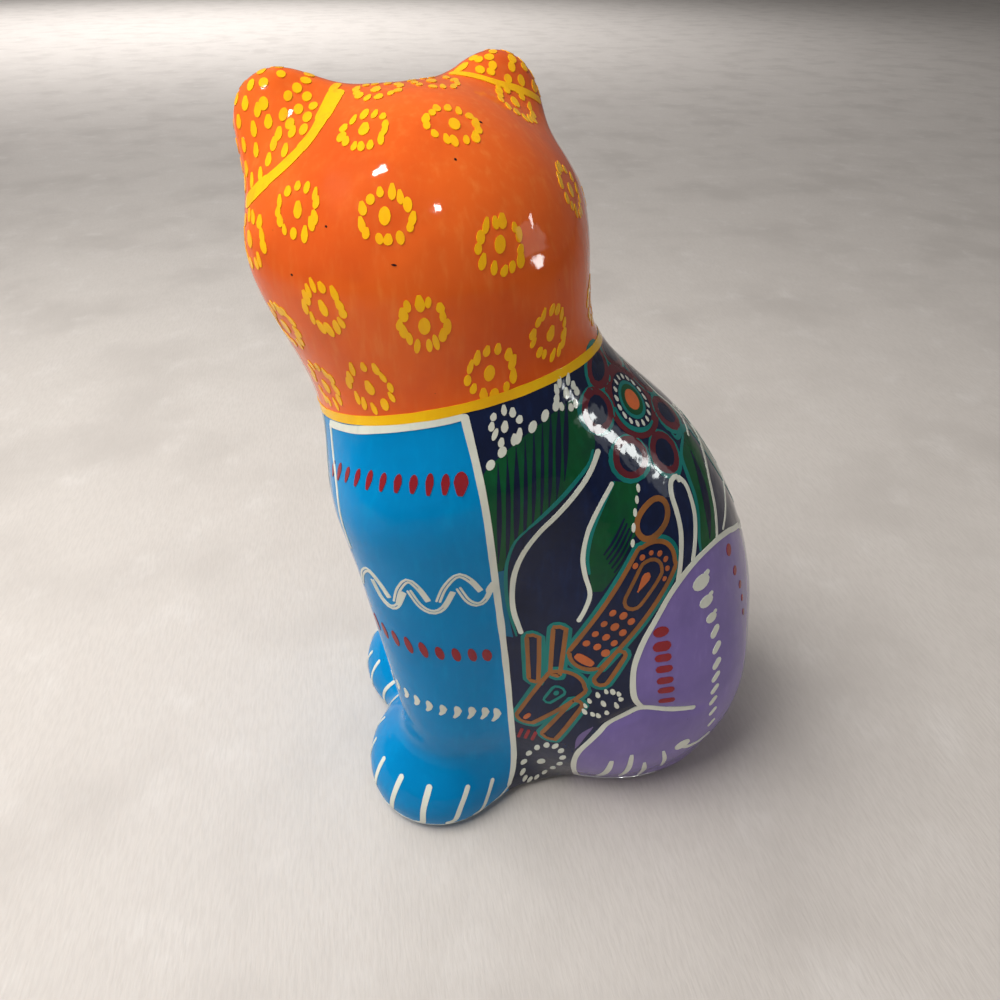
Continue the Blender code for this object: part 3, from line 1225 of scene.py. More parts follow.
@dataclass
class PaintedFace:
    """A plain, friendly painted cat face.

    Attributes:
        eye: Bearing, rise, length and height of an eye.
        nose: Rise, width and height of the nose.
    """

    eye: tuple[float, float, float, float] = (27.0, 10.0, 10.0, 6.4)
    nose: Triple = (-4.0, 6.0, 4.2)

    def build(self, skin: Skin) -> None:
        """Paint the face.

        Args:
            skin: What is painted.
        """
        whites = Brush(skin, "eye_whites", Paint.WHITE, FILL_LIFT)
        irises = Brush(skin, "eye_irises", Paint.GREEN, SHADE_LIFT)
        darks = Brush(skin, "face_lines", Paint.BLACK, LINE_LIFT)
        glints = Brush(skin, "eye_glints", Paint.WHITE, DOT_LIFT)
        strokes = Brush(skin, "whiskers", Paint.WHITE, LINE_LIFT)
        dabs = Brush(skin, "brow_dabs", Paint.YELLOW, LINE_LIFT)
        for hand in Hand:
            self.paint_eye(skin, hand, whites, irises, darks, glints)
            self.paint_brow(skin, hand, dabs)
            self.paint_whiskers(skin, hand, strokes, darks)
        self.paint_muzzle(skin, darks)
        for brush in (whites, irises, darks, glints, strokes, dabs):
            brush.done()

    def eye_easel(self, skin: Skin, hand: Hand) -> Easel:
        """Give the drawing frame of one eye, turned a little up at its outer corner."""
        spot = HeadChart(hand).spot(skin, *self.eye[:2])
        return Easel.at(skin, spot, UP, 8.0 * hand.value)

    def paint_eye(self, skin: Skin, hand: Hand, whites: Brush, irises: Brush, darks: Brush,
                  glints: Brush) -> None:
        """Lay one eye's white, iris, pupil, lids and glint.

        Args:
            skin: What is painted.
            hand: Which side.
            whites: Brush of the eyes' whites.
            irises: Brush of the irises.
            darks: Brush of the dark lines.
            glints: Brush of the glints.
        """
        length, height = self.eye[2:]
        easel = self.eye_easel(skin, hand)
        whites.dab(easel, 0, 0, length, height, 0, Tip.LEAF)
        irises.dab(easel, 0, 0, height * 0.86, height * 0.8, 90, Tip.OVAL)
        darks.dab(easel, 0, 0, height * 0.8, height * 0.34, 90, Tip.LEAF)
        half = length / 2
        upper = [easel.spot(-half, 0), easel.spot(0, height * 0.52), easel.spot(half + 1.0, 0.6)]
        lower = [easel.spot(-half, 0), easel.spot(0, -height * 0.5), easel.spot(half, 0)]
        darks.stroke(upper, 1.0, Tip.TAPER)
        darks.stroke(lower, 0.6, Tip.TAPER)
        glints.dab(easel, 0.9, 1.1, 1.1, 1.0, 90, Tip.OVAL)

    def paint_brow(self, skin: Skin, hand: Hand, dabs: Brush) -> None:
        """Lay an arch of five dabs over one eye.

        Args:
            skin: What is painted.
            hand: Which side.
            dabs: Brush of the brows.
        """
        easel = self.eye_easel(skin, hand)
        for step in range(5):
            dabs.dab(easel, -4.6 + 2.3 * step, 6.2 + 1.3 * math.sin(math.pi * step / 4), 2.6, 1.3,
                     90 + hand.value * (12 - 6 * step))

    @staticmethod
    def paint_whiskers(skin: Skin, hand: Hand, strokes: Brush, darks: Brush) -> None:
        """Lay one cheek's three whiskers and three freckles.

        Args:
            skin: What is painted.
            hand: Which side.
            strokes: Brush of the whiskers.
            darks: Brush of the dark lines.
        """
        chart = HeadChart(hand)
        for line, (start, end) in enumerate(((-4, 6), (-9, -6), (-14, -18))):
            strokes.stroke(spots(skin, chart, (17 + 2 * line, start - 4), (34, (start + end) / 2 - 4),
                                 (52 - 2 * line, end - 4)), 0.8, Tip.TAPER)
        for spot in spots(skin, chart, (9, -16), (13, -13), (13, -19)):
            darks.dab(Easel.at(skin, spot, UP), 0, 0, 0.9, 0.8, 90, Tip.OVAL)

    def paint_muzzle(self, skin: Skin, darks: Brush) -> None:
        """Lay the nose and the lines of the mouth.

        Args:
            skin: What is painted.
            darks: Brush of the dark lines.
        """
        rise, width, height = self.nose
        chart = HeadChart()
        easel = Easel.on(skin, chart, 0, rise)
        nose = Brush(skin, "nose_paint", Paint.PINK, SHADE_LIFT)
        nose.fill([easel.spot(-width / 2, height / 2), easel.spot(-width / 3, -height / 6),
                   easel.spot(-0.4, -height / 2)],
                  [easel.spot(width / 2, height / 2), easel.spot(width / 3, -height / 6),
                   easel.spot(0.4, -height / 2)])
        nose.done()
        darks.stroke([easel.spot(0, -height / 2), easel.spot(0, -height / 2 - 3.4)], 0.8)
        for side in (-1, 1):
            darks.stroke([easel.spot(0, -height / 2 - 3.2), easel.spot(side * 2.6, -height / 2 - 4.6),
                          easel.spot(side * 5.4, -height / 2 - 3.0)], 0.8, Tip.TAPER)


# ---------- Front ----------


@dataclass
class FrontPanel:
    """The blue chest and forelegs with their borders and rows, the same on both sides.

    Attributes:
        border: Width of the white border.
        upper_row: The upper red row: the bearing where it starts, how far round it runs and its dabs.
        lower_row: The same for the lower red row.
        comma_row: The same for the row of white commas.
    """

    border: float = 1.6
    upper_row: tuple[float, float, int] = (-71.0, 38.2, 11)
    lower_row: tuple[float, float, int] = (-60.0, 33.2, 9)
    comma_row: tuple[float, float, int] = (-60.0, 35.9, 10)

    def build(self, skin: Skin) -> None:
        """Paint the front.

        Args:
            skin: What is painted.
        """
        white = Brush(skin, "front_borders", Paint.WHITE)
        commas = Brush(skin, "front_commas", Paint.WHITE)
        waves = Brush(skin, "front_waves", Paint.WHITE)
        toes = Brush(skin, "paw_strokes", Paint.WHITE)
        red = Brush(skin, "front_red_dabs", Paint.RED)
        teal = Brush(skin, "front_shadow_lines", Paint.TEAL, EDGE_LIFT)
        for hand in Hand:
            self.paint_borders(skin, hand, white, teal)
            self.paint_rows(skin, hand, commas, red)
            self.paint_wave(skin, hand, waves)
            self.paint_paw(skin, hand, toes)
        for brush in (white, commas, waves, toes, red, teal):
            brush.done()

    def paint_borders(self, skin: Skin, hand: Hand, white: Brush, teal: Brush) -> None:
        """Lay the white lines round one side's panel.

        Args:
            skin: What is painted.
            hand: Which side.
            white: Brush of the borders.
            teal: Brush of the shadow line.
        """
        side, round_chart = FlatChart.side(hand), RoundChart(hand)
        top = ((-34.6, 126.2), (-41.5, 124.9), (-50.5, 123.2), (-63.5, 119.9), (-75, 117.2))
        if hand is Hand.RIGHT:
            top = ((-31.0, 126.4), *top)
        edge = PANEL_EDGE if hand is Hand.LEFT else ((-20.6, 114.6), *PANEL_EDGE[1:])
        white.stroke(spots(skin, side, *edge), self.border)
        white.stroke(spots(skin, round_chart, *top), self.border * 1.1)
        white.stroke(spots(skin, round_chart, top[-1], (-72.7, 111.7), (-67.2, 104.6), (-64.5, 97),
                           (-63.4, 90.6)), 1.0)
        white.stroke(spots(skin, round_chart, (-81, 117.5), (-80, 108), (-78, 98), (-77, 88)), 0.8,
                     Tip.TAPER)
        teal.stroke(spots(skin, round_chart, (-33, 128.2), (-40, 127), (-50, 125.2), (-62, 122.2)), 1.1,
                    Tip.LEAF)
        lower = ((-13.6, 6.0), (-16.5, 3.4), (-22, 2.2))
        white.stroke(spots(skin, side, *lower), 0.8, Tip.TAPER)

    def paint_rows(self, skin: Skin, hand: Hand, commas: Brush, red: Brush) -> None:
        """Lay the upper and lower rows of red dabs and the row of white commas.

        Args:
            skin: What is painted.
            hand: Which side.
            commas: Brush of the commas.
            red: Brush of the red dabs.
        """
        chart = RoundChart(hand)
        start, sweep, count = self.upper_row
        for item in range(count):
            share = item / (count - 1)
            height = 113.2 - 5.2 * (1 - share) ** 2.2
            easel = Easel.on(skin, chart, start + sweep * share, height)
            size = (4.1 + 0.4 * share, 1.4 + 0.35 * share) if share < 1 else (5.2, 2.7)
            red.dab(easel, 0, 0, red.uneven(size[0], 0.1), red.uneven(size[1], 0.12), 270 - 6 * hand.value,
                    Tip.BUD)
        start, sweep, count = self.lower_row
        for item in range(count):
            share = item / (count - 1)
            easel = Easel.on(skin, chart, start + sweep * share, 68.2 - 5.7 * share**2)
            size = (5.4 - 0.9 * share, 1.5 + 0.7 * share)
            red.dab(easel, 0, 0, red.uneven(size[0], 0.1), size[1], 90 + 14 * hand.value, Tip.OVAL)
        start, sweep, count = self.comma_row
        for item in range(count):
            share = item / (count - 1)
            easel = Easel.on(skin, chart, start + sweep * share, 46.8 - 7.7 * share**2)
            half = commas.uneven(4.1 + 0.5 * share, 0.08) / 2
            lean = (0.5 + 0.4 * share) * hand.value
            path = [easel.spot(-lean, -half), easel.spot(0.5 * lean, -0.2), easel.spot(-0.3 * lean, half)]
            commas.stroke(path, 1.5 + 0.6 * share, Tip.BUD)

    @staticmethod
    def paint_wave(skin: Skin, hand: Hand, waves: Brush) -> None:
        """Lay the chain of interlocking hooks round the chest.

        Each hook is two close lines, because the worn brush left its middle bare.

        Args:
            skin: What is painted.
            hand: Which side.
            waves: Brush of the hooks.
        """
        chart = RoundChart(hand)
        hooks = []
        for middle, height, reach in ((-56.9, 88.0, 5.9), (-45.0, 89.3, 4.4), (-33.0, 91.1, 5.4)):
            hooks.append(((middle - reach, height - 8.0), (middle - 0.62 * reach, height - 3.4),
                          (middle, height), (middle + 0.55 * reach, height - 2.0),
                          (middle + reach, height - 6.0)))
        for middle, height, reach in ((-51.2, 79.1, 4.8), (-39.8, 79.9, 5.3), (-28.6, 80.8, 4.6)):
            hooks.append(((middle - reach, height + 6.4), (middle - 0.55 * reach, height + 1.8),
                          (middle, height), (middle + 0.5 * reach, height + 1.4),
                          (middle + reach, height + 6.2)))
        for hook in hooks:
            path = spots(skin, chart, *hook)
            for side in (-1, 1):
                waves.stroke(path, 0.55, Tip.ROUND, shift=0.4 * side)
            waves.stroke(path[3:], 0.9, Tip.TAPER)
        knob = spots(skin, chart, (-25.6, 84.0), (-23.6, 86.6), (-22.6, 87.2))
        waves.stroke(knob, 2.4)

    @staticmethod
    def paint_paw(skin: Skin, hand: Hand, toes: Brush) -> None:
        """Lay the strokes that part the toes.

        Args:
            skin: What is painted.
            hand: Which side.
            toes: Brush of the toes.
        """
        chart = RoundChart(hand)
        for top, bottom, width in (((-104, 15), (-102.5, 4.2), 1.1), ((-86, 14), (-86, 4), 1.2),
                                   ((-70.5, 13.5), (-71, 4.5), 1.1), ((-61, 15.5), (-62, 4.2), 1.4),
                                   ((-52, 16), (-53.4, 3.4), 1.6), ((-43, 16), (-43, 3.6), 1.7),
                                   ((-32.3, 14.4), (-34.4, 4.6), 1.4), ((-25, 12.6), (-27.6, 4), 1.2)):
            middle = ((top[0] + bottom[0]) / 2 + 0.4, (top[1] + bottom[1]) / 2)
            hook = (bottom[0] - 2.4, bottom[1] - 0.9)
            toes.stroke(spots(skin, chart, top, middle, bottom, hook), width)
        base = [(bearing, 2.6) for bearing in range(-70, -20, 8)]
        toes.stroke(spots(skin, chart, *base), 0.7, Tip.TAPER)


# ---------- Flanks ----------


@dataclass
class Flower:
    """A round flower: an orange eye, a green ring, a dotted dark ring and rimmed petals.

    Attributes:
        place: Where its middle is on the left side's chart.
        far_place: Where its middle is on the right side's chart.
        petals: Each petal's angle and distance from the middle, its length outwards and its width.
        rim: How much shorter and narrower a petal's dark heart is.
        outline: How far the turquoise shows round a petal.
        middle: Width of the round that the petals grow from.
        rounds: Widths of the eye's navy disc, turquoise ring, green ring and orange middle.
        layer: How much higher each of those lies than the one before.
        ring: Radius of the turquoise arc, and of the ring of dots.
        dots: How many white dots its dark ring has.
    """

    place: Pair = (16.8, 118.0)
    far_place: Pair = (12.0, 113.0)
    petals: tuple[tuple[float, float, float, float], ...] = (
        (114, 12.4, 8.6, 11.4), (161, 12.9, 9.8, 10.0), (-140, 14.6, 10.6, 10.8), (-93, 14.4, 10.4, 9.4),
        (-42, 13.6, 10.4, 9.6), (8, 12.8, 9.0, 10.6), (62, 12.2, 8.6, 10.6))
    rim: float = 3.6
    outline: float = 0.95
    middle: float = 18.6
    rounds: tuple[float, float, float, float] = (13.6, 9.4, 7.6, 5.0)
    layer: float = 0.015
    ring: Pair = (7.3, 5.75)
    dots: int = 17

    def build(self, skin: Skin, hand: Hand) -> None:
        """Paint the flower on one side.

        Args:
            skin: What is painted.
            hand: Which side.
        """
        chart = FlatChart.side(hand, settle=True)
        place = self.place if hand is Hand.LEFT else self.far_place
        easel = Easel.on(skin, chart, *place)
        tag = hand.name.lower()
        rims = Brush(skin, f"{tag}_flower_outline", Paint.TEAL, SHADE_LIFT)
        petals = Brush(skin, f"{tag}_flower_petals", Paint.MAROON, EDGE_LIFT)
        hearts = Brush(skin, f"{tag}_petal_hearts", Paint.NAVY, LINE_LIFT)
        for turned, distance, length, width in self.petals:
            angle = turned if hand is Hand.LEFT else 180.0 - turned
            turn = math.radians(angle)
            across, up = distance * math.cos(turn), distance * math.sin(turn)
            wider = 2 * self.outline
            rims.dab(easel, across * 1.03, up * 1.03, length + wider, width + wider * 0.8, angle, Tip.OVAL)
            petals.dab(easel, across, up, length, width, angle, Tip.OVAL)
            hearts.dab(easel, across, up, length - self.rim, width - self.rim, angle, Tip.OVAL)
        self.disc(petals, easel, self.middle)
        self.paint_eye(skin, easel, tag, hand)
        for brush in (rims, petals, hearts):
            brush.done()

    def paint_eye(self, skin: Skin, easel: Easel, tag: str, hand: Hand) -> None:
        """Lay the rings in the flower's middle.

        Args:
            skin: What is painted.
            easel: The drawing frame.
            tag: The side's word in the names of the pieces.
            hand: Which side.
        """
        layers = (("disc", Paint.NAVY), ("heart", Paint.TEAL), ("leaf_green", Paint.GREEN),
                  ("eye", Paint.ORANGE))
        for level, ((name, paint), size) in enumerate(zip(layers, self.rounds)):
            brush = Brush(skin, f"{tag}_flower_{name}", paint, DOT_LIFT + level * self.layer)
            self.disc(brush, easel, size)
            brush.done()
        arc, beads = self.ring
        ring = Brush(skin, f"{tag}_flower_ring", Paint.TEAL, DOT_LIFT + self.layer)
        sweep = range(165, 300, 15) if hand is Hand.LEFT else range(15, -120, -15)
        ring.stroke([easel.polar(arc, angle) for angle in sweep], 1.1, Tip.TAPER)
        ring.done()
        dots = Brush(skin, f"{tag}_flower_dots", Paint.WHITE, DOT_LIFT + 2 * self.layer)
        for item in range(self.dots):
            turn = 2 * math.pi * item / self.dots
            dots.dab(easel, beads * math.cos(turn), beads * math.sin(turn), dots.uneven(1.6, 0.15),
                     dots.uneven(0.95, 0.15), 90 + 10 * math.sin(turn), Tip.BUD)
        dots.done()

    @staticmethod
    def disc(brush: Brush, easel: Easel, size: float) -> None:
        """Lay a full round of the given width.

        Args:
            brush: The brush.
            easel: The drawing frame.
            size: Its width.
        """
        half = size / 2
        angles = [math.pi * step / 12 for step in range(13)]
        left = [easel.spot(-half * math.sin(a) - 0.02, -half * math.cos(a)) for a in angles]
        right = [easel.spot(half * math.sin(a) + 0.02, -half * math.cos(a)) for a in angles]
        rows = []
        for first, last in zip(left, right):
            rows.append([brush.skin.nearest(first.point.lerp(last.point, k / 6)) for k in range(7)])
        brush.film(rows)


@dataclass
class LeafSpray:
    """The green leaves and the white lines that sweep between them on one flank.

    Attributes:
        lines: How many of the sweeping lines the left and the right side have.
        rosettes: Each small white rosette's place, radius, dabs, dab size, height over width and turn.
        base_ring: Middle of the slanting ring of dabs low on the left side.
        base_reach: That ring's two half axes, as steps across and up.
        base_dabs: How many dabs that ring has.
    """

    lines: tuple[int, int] = (8, 5)
    rosettes: tuple[tuple[Pair, float, int, Pair, float, float], ...] = (
        ((-14.3, 123.3), 2.9, 9, (2.1, 1.3), 1.1, -8.0), ((-0.7, 126.0), 2.7, 9, (2.1, 1.35), 1.1, -8.0),
        ((8.2, 48.8), 5.1, 12, (1.9, 1.2), 0.62, -46.0))
    base_ring: Pair = (-4.5, 16.4)
    base_reach: tuple[Pair, Pair] = ((4.0, 10.6), (2.7, -6.6))
    base_dabs: int = 14

    def build(self, skin: Skin, hand: Hand) -> None:
        """Paint the spray on one side.

        Args:
            skin: What is painted.
            hand: Which side.
        """
        chart = FlatChart.side(hand, settle=True)
        tag = hand.name.lower()
        green = Brush(skin, f"{tag}_leaves", Paint.GREEN, FILL_LIFT)
        teal = Brush(skin, f"{tag}_leaf_edges", Paint.TEAL, EDGE_LIFT)
        dark = Brush(skin, f"{tag}_leaf_hatching", Paint.NAVY, SHADE_LIFT)
        white = Brush(skin, f"{tag}_sweeping_lines", Paint.WHITE)
        dots = Brush(skin, f"{tag}_white_dots", Paint.WHITE, DOT_LIFT)
        self.paint_front_leaf(skin, chart, green, teal, dark)
        self.paint_stem(skin, chart, f"{tag}_leaf_stem")
        self.paint_middle_leaf(skin, chart, green, teal, dark)
        self.paint_long_leaf(skin, chart, green, teal, dark)
        self.paint_lines(skin, chart, white, self.lines[0 if hand is Hand.LEFT else 1])
        self.paint_dots(skin, chart, dots)
        if hand is Hand.LEFT:
            self.paint_base_ring(skin, chart, dots)
        for brush in (green, teal, dark, white, dots):
            brush.done()

    @staticmethod
    def paint_front_leaf(skin: Skin, chart: FlatChart, green: Brush, teal: Brush, dark: Brush) -> None:
        """Lay the broad leaf beside the front panel, with its hatching.

        Args:
            skin: What is painted.
            chart: That side's chart.
            green: Brush of the leaves.
            teal: Brush of their edges.
            dark: Brush of their hatching.
        """
        back = ((-16.2, 89.6), (-15.0, 93.4), (-13.2, 98.0), (-10.4, 101.0), (-3.2, 106.2), (3.6, 111.6),
                (5.4, 116.0), (3.4, 120.4), (1.0, 124.0))
        front = ((-17.4, 89.6), (-18.2, 96.0), (-19.0, 105.0), (-19.6, 114.0), (-16.0, 117.6), (-11.0, 120.6),
                 (-6.0, 122.8), (-2.4, 124.2), (0.4, 124.6))
        green.fill(spots(skin, chart, *front), spots(skin, chart, *back))
        rim = ((4.8, 114.2), (3.6, 111.8), (0.4, 109.2), (-3.2, 106.4), (-6.8, 103.8), (-10.5, 101.1),
               (-13.3, 98.3), (-14.9, 93.0), (-15.1, 86.8), (-14.3, 77.8), (-12.2, 68.0))
        teal.stroke(spots(skin, chart, *rim[:6]), 1.05, Tip.TAPER)
        teal.stroke(spots(skin, chart, *rim[5:]), 0.9, Tip.TAPER)
        for item in range(9):
            across = -16.4 + 1.95 * item
            top = 116.6 + 0.62 * (across + 16.4)
            bottom = (93, 91, 96, 95, 99.5, 101, 104, 106.5, 110)[item]
            lean = -0.5 - 0.12 * item
            dark.stroke(spots(skin, chart, (across, top), (across + lean * 0.5, (top + bottom) / 2),
                              (across + lean, bottom)), dark.uneven(1.15, 0.3), Tip.LEAF)

    @staticmethod
    def paint_stem(skin: Skin, chart: FlatChart, name: str) -> None:
        """Lay the broad leaf's blue stem.

        Args:
            skin: What is painted.
            chart: That side's chart.
            name: The stem's name.
        """
        stem = Brush(skin, name, Paint.BLUE, SHADE_LIFT)
        stem.fill(spots(skin, chart, (-17.0, 90.4), (-16.8, 84.0), (-16.2, 76.0), (-15.6, 68.6)),
                  spots(skin, chart, (-15.4, 90.4), (-15.2, 84.0), (-14.3, 76.0), (-13.0, 67.6)))
        stem.done()

    @staticmethod
    def paint_middle_leaf(skin: Skin, chart: FlatChart, green: Brush, teal: Brush, dark: Brush) -> None:
        """Lay the leaf that hangs under the flower.

        Args:
            skin: What is painted.
            chart: That side's chart.
            green: Brush of the leaves.
            teal: Brush of their edges.
            dark: Brush of their hatching.
        """
        left = ((9.6, 106.6), (6.6, 102.4), (4.2, 97.5), (3.1, 91.5), (3.6, 87.0), (4.2, 82.6))
        right = ((15.6, 104.6), (15.2, 101.5), (14.7, 97.8), (14.2, 94.0), (12.4, 90.4), (8.8, 85.4),
                 (6.6, 82.6))
        green.fill(spots(skin, chart, *left), spots(skin, chart, *right))
        teal.stroke(spots(skin, chart, *left[:5]), 1.0, Tip.TAPER)
        for item in range(5):
            start = (11.8 + 0.6 * item, 98.5 - 1.1 * item)
            dark.stroke(spots(skin, chart, start, (start[0] - 2.6, start[1] - 4.2),
                              (start[0] - 5.0, start[1] - 7.2)), 0.7, Tip.TAPER)

    @staticmethod
    def paint_long_leaf(skin: Skin, chart: FlatChart, green: Brush, teal: Brush, dark: Brush) -> None:
        """Lay the narrow leaf near the back, with its dark heart.

        Args:
            skin: What is painted.
            chart: That side's chart.
            green: Brush of the leaves.
            teal: Brush of their edges.
            dark: Brush of their hatching.
        """
        left = ((31.4, 106.4), (29.0, 104.6), (30.0, 100.6), (31.4, 96.6), (31.9, 92.6), (31.8, 88.0),
                (32.2, 85.0))
        right = ((33.4, 106.0), (36.2, 101.6), (37.0, 98.6), (37.4, 95.0), (37.8, 91.0), (37.6, 87.6),
                 (37.6, 85.0))
        green.fill(spots(skin, chart, *left), spots(skin, chart, *right))
        teal.stroke(spots(skin, chart, *left), 1.2, Tip.TAPER)
        dark.stroke(spots(skin, chart, (32.6, 103.4), (34.4, 98.0), (35.4, 92.0), (35.4, 86.0)), 2.9,
                    Tip.LEAF)
        teal.stroke(spots(skin, chart, (26.8, 109.2), (28.6, 107.2), (31.0, 107.0), (34.6, 105.0),
                          (36.4, 102.6)), 1.9, Tip.LEAF)

    @staticmethod
    def paint_lines(skin: Skin, chart: FlatChart, white: Brush, count: int) -> None:
        """Lay the first few of the white lines that sweep from the flower down to the haunch.

        Args:
            skin: What is painted.
            chart: That side's chart.
            white: Brush of the lines.
            count: How many of them this side has.
        """
        sweeps = (
            (1.25, ((6.2, 113.8), (3.5, 109.8), (-0.1, 106.2), (-4.1, 102.7), (-8.0, 99.4), (-11.3, 94.7),
                    (-13.1, 89.0), (-13.5, 82.6), (-13.0, 76.2), (-11.1, 68.8))),
            (1.05, ((9.2, 106.6), (5.8, 102.3), (3.2, 97.4), (2.1, 91.6), (2.6, 87.0), (3.8, 82.2),
                    (2.8, 78.0), (1.3, 74.4))),
            (1.3, ((27.2, 100.8), (26.2, 102.2), (24.5, 101.9), (24.3, 99.6), (25.4, 96.0), (26.3, 91.5),
                   (26.1, 86.0), (25.2, 80.0))),
            (1.2, ((26.6, 102.0), (28.8, 99.8), (30.1, 96.5), (30.8, 93.0), (30.5, 88.4), (29.6, 83.8))),
            (1.0, ((38.2, 102.6), (38.2, 99.6), (37.8, 96.0), (38.3, 91.0), (38.2, 87.0), (38.0, 84.6))),
            (0.7, ((40.0, 101.0), (44.4, 95.6), (46.2, 90.4), (44.3, 88.6), (42.4, 86.4), (40.6, 84.8))),
            (0.75, ((18.5, 121.4), (22.4, 117.4), (26.6, 113.4), (31.0, 109.4), (33.6, 106.6),
                    (33.4, 104.8))),
            (1.0, ((31.8, 108.8), (34.2, 107.2), (35.0, 105.6))))
        for width, places in sweeps[:count]:
            white.stroke(spots(skin, chart, *places), width)

    def paint_dots(self, skin: Skin, chart: FlatChart, dots: Brush) -> None:
        """Lay the dots under the collar and by the middle leaf, and the small white rosettes.

        Args:
            skin: What is painted.
            chart: That side's chart.
            dots: Brush of the dots.
        """
        collar = ((-17.9, 116.4), (-15.4, 118.6), (-12.1, 120.6), (-8.8, 122.2), (-6.0, 123.6), (-3.4, 124.7))
        leaf = ((15.5, 103.6), (15.0, 101.5), (14.4, 99.1), (13.9, 96.1), (13.6, 92.9))
        for places, length, width, lean in ((collar, 2.4, 1.7, 30), (leaf, 2.0, 0.95, 8)):
            for place in places:
                dots.dab(Easel.on(skin, chart, *place), 0, 0, dots.uneven(length, 0.1), width,
                         90 + chart.toward.x * lean, Tip.OVAL)
        for place, radius, count, size, stretch, turn in self.rosettes:
            easel = Easel.at(skin, chart.spot(skin, *place), UP, turn * chart.toward.x)
            centre = (size[0] * 1.15, size[1] * 1.1)
            dots.rosette(easel, radius, count, size, centre, 90 + chart.toward.x * 22, stretch)

    def paint_base_ring(self, skin: Skin, chart: FlatChart, dots: Brush) -> None:
        """Lay the slanting ring of dabs by the base, then its middle dab.

        Args:
            skin: What is painted.
            chart: That side's chart.
            dots: Brush of the dots.
        """
        (long_across, long_up), (short_across, short_up) = self.base_reach
        for item in range(self.base_dabs + 1):
            turn = 2 * math.pi * item / self.base_dabs
            ring = 1.0 if item < self.base_dabs else 0.0
            along, beside = ring * math.cos(turn), ring * math.sin(turn)
            place = (self.base_ring[0] + long_across * along + short_across * beside,
                     self.base_ring[1] + long_up * along + short_up * beside)
            easel = Easel.on(skin, chart, *place)
            length, width = (3.3, 1.45) if ring else (4.1, 1.95)
            dots.dab(easel, 0, 0, dots.uneven(length, 0.12), dots.uneven(width, 0.1),
                     74 + dots.chance.uniform(-8, 8), Tip.OVAL)


@dataclass(frozen=True)
class Loop:
    """A long loop with two round ends, drawn on the chart of one side.

    Attributes:
        place: Where its middle is.
        reach: Half its length.
        front: Radius of its forward end.
        rear: Radius of its other end.
        angle: Which way its forward end lies, in degrees from across.
    """

    place: Pair
    reach: float
    front: float
    rear: float
    angle: float

    def places(self, wider: float = 0.0) -> list[Pair]:
        """Give places round the loop, moved outwards by the given distance.

        Args:
            wider: How far outwards, in millimetres.

        Returns:
            Fourteen places, seven round each end.
        """
        ring = []
        for end, radius in ((self.angle, self.front), (self.angle + 180.0, self.rear)):
            way = math.radians(end)
            ahead = self.reach - radius
            middle = (self.place[0] + ahead * math.cos(way), self.place[1] + ahead * math.sin(way))
            for step in range(-3, 4):
                turn = math.radians(end + 30.0 * step)
                ring.append((middle[0] + (radius + wider) * math.cos(turn),
                             middle[1] + (radius + wider) * math.sin(turn)))
        return ring

    def within(self, along: float, across: float) -> Pair:
        """Give the place at these shares of the loop's half length and half width from its middle.

        Args:
            along: The share of the half length.
            across: The share of the half width.

        Returns:
            The place, across and up.
        """
        way = math.radians(self.angle)
        ahead, aside = along * self.reach, across * max(self.front, self.rear)
        return (self.place[0] + ahead * math.cos(way) - aside * math.sin(way),
                self.place[1] + ahead * math.sin(way) + aside * math.cos(way))


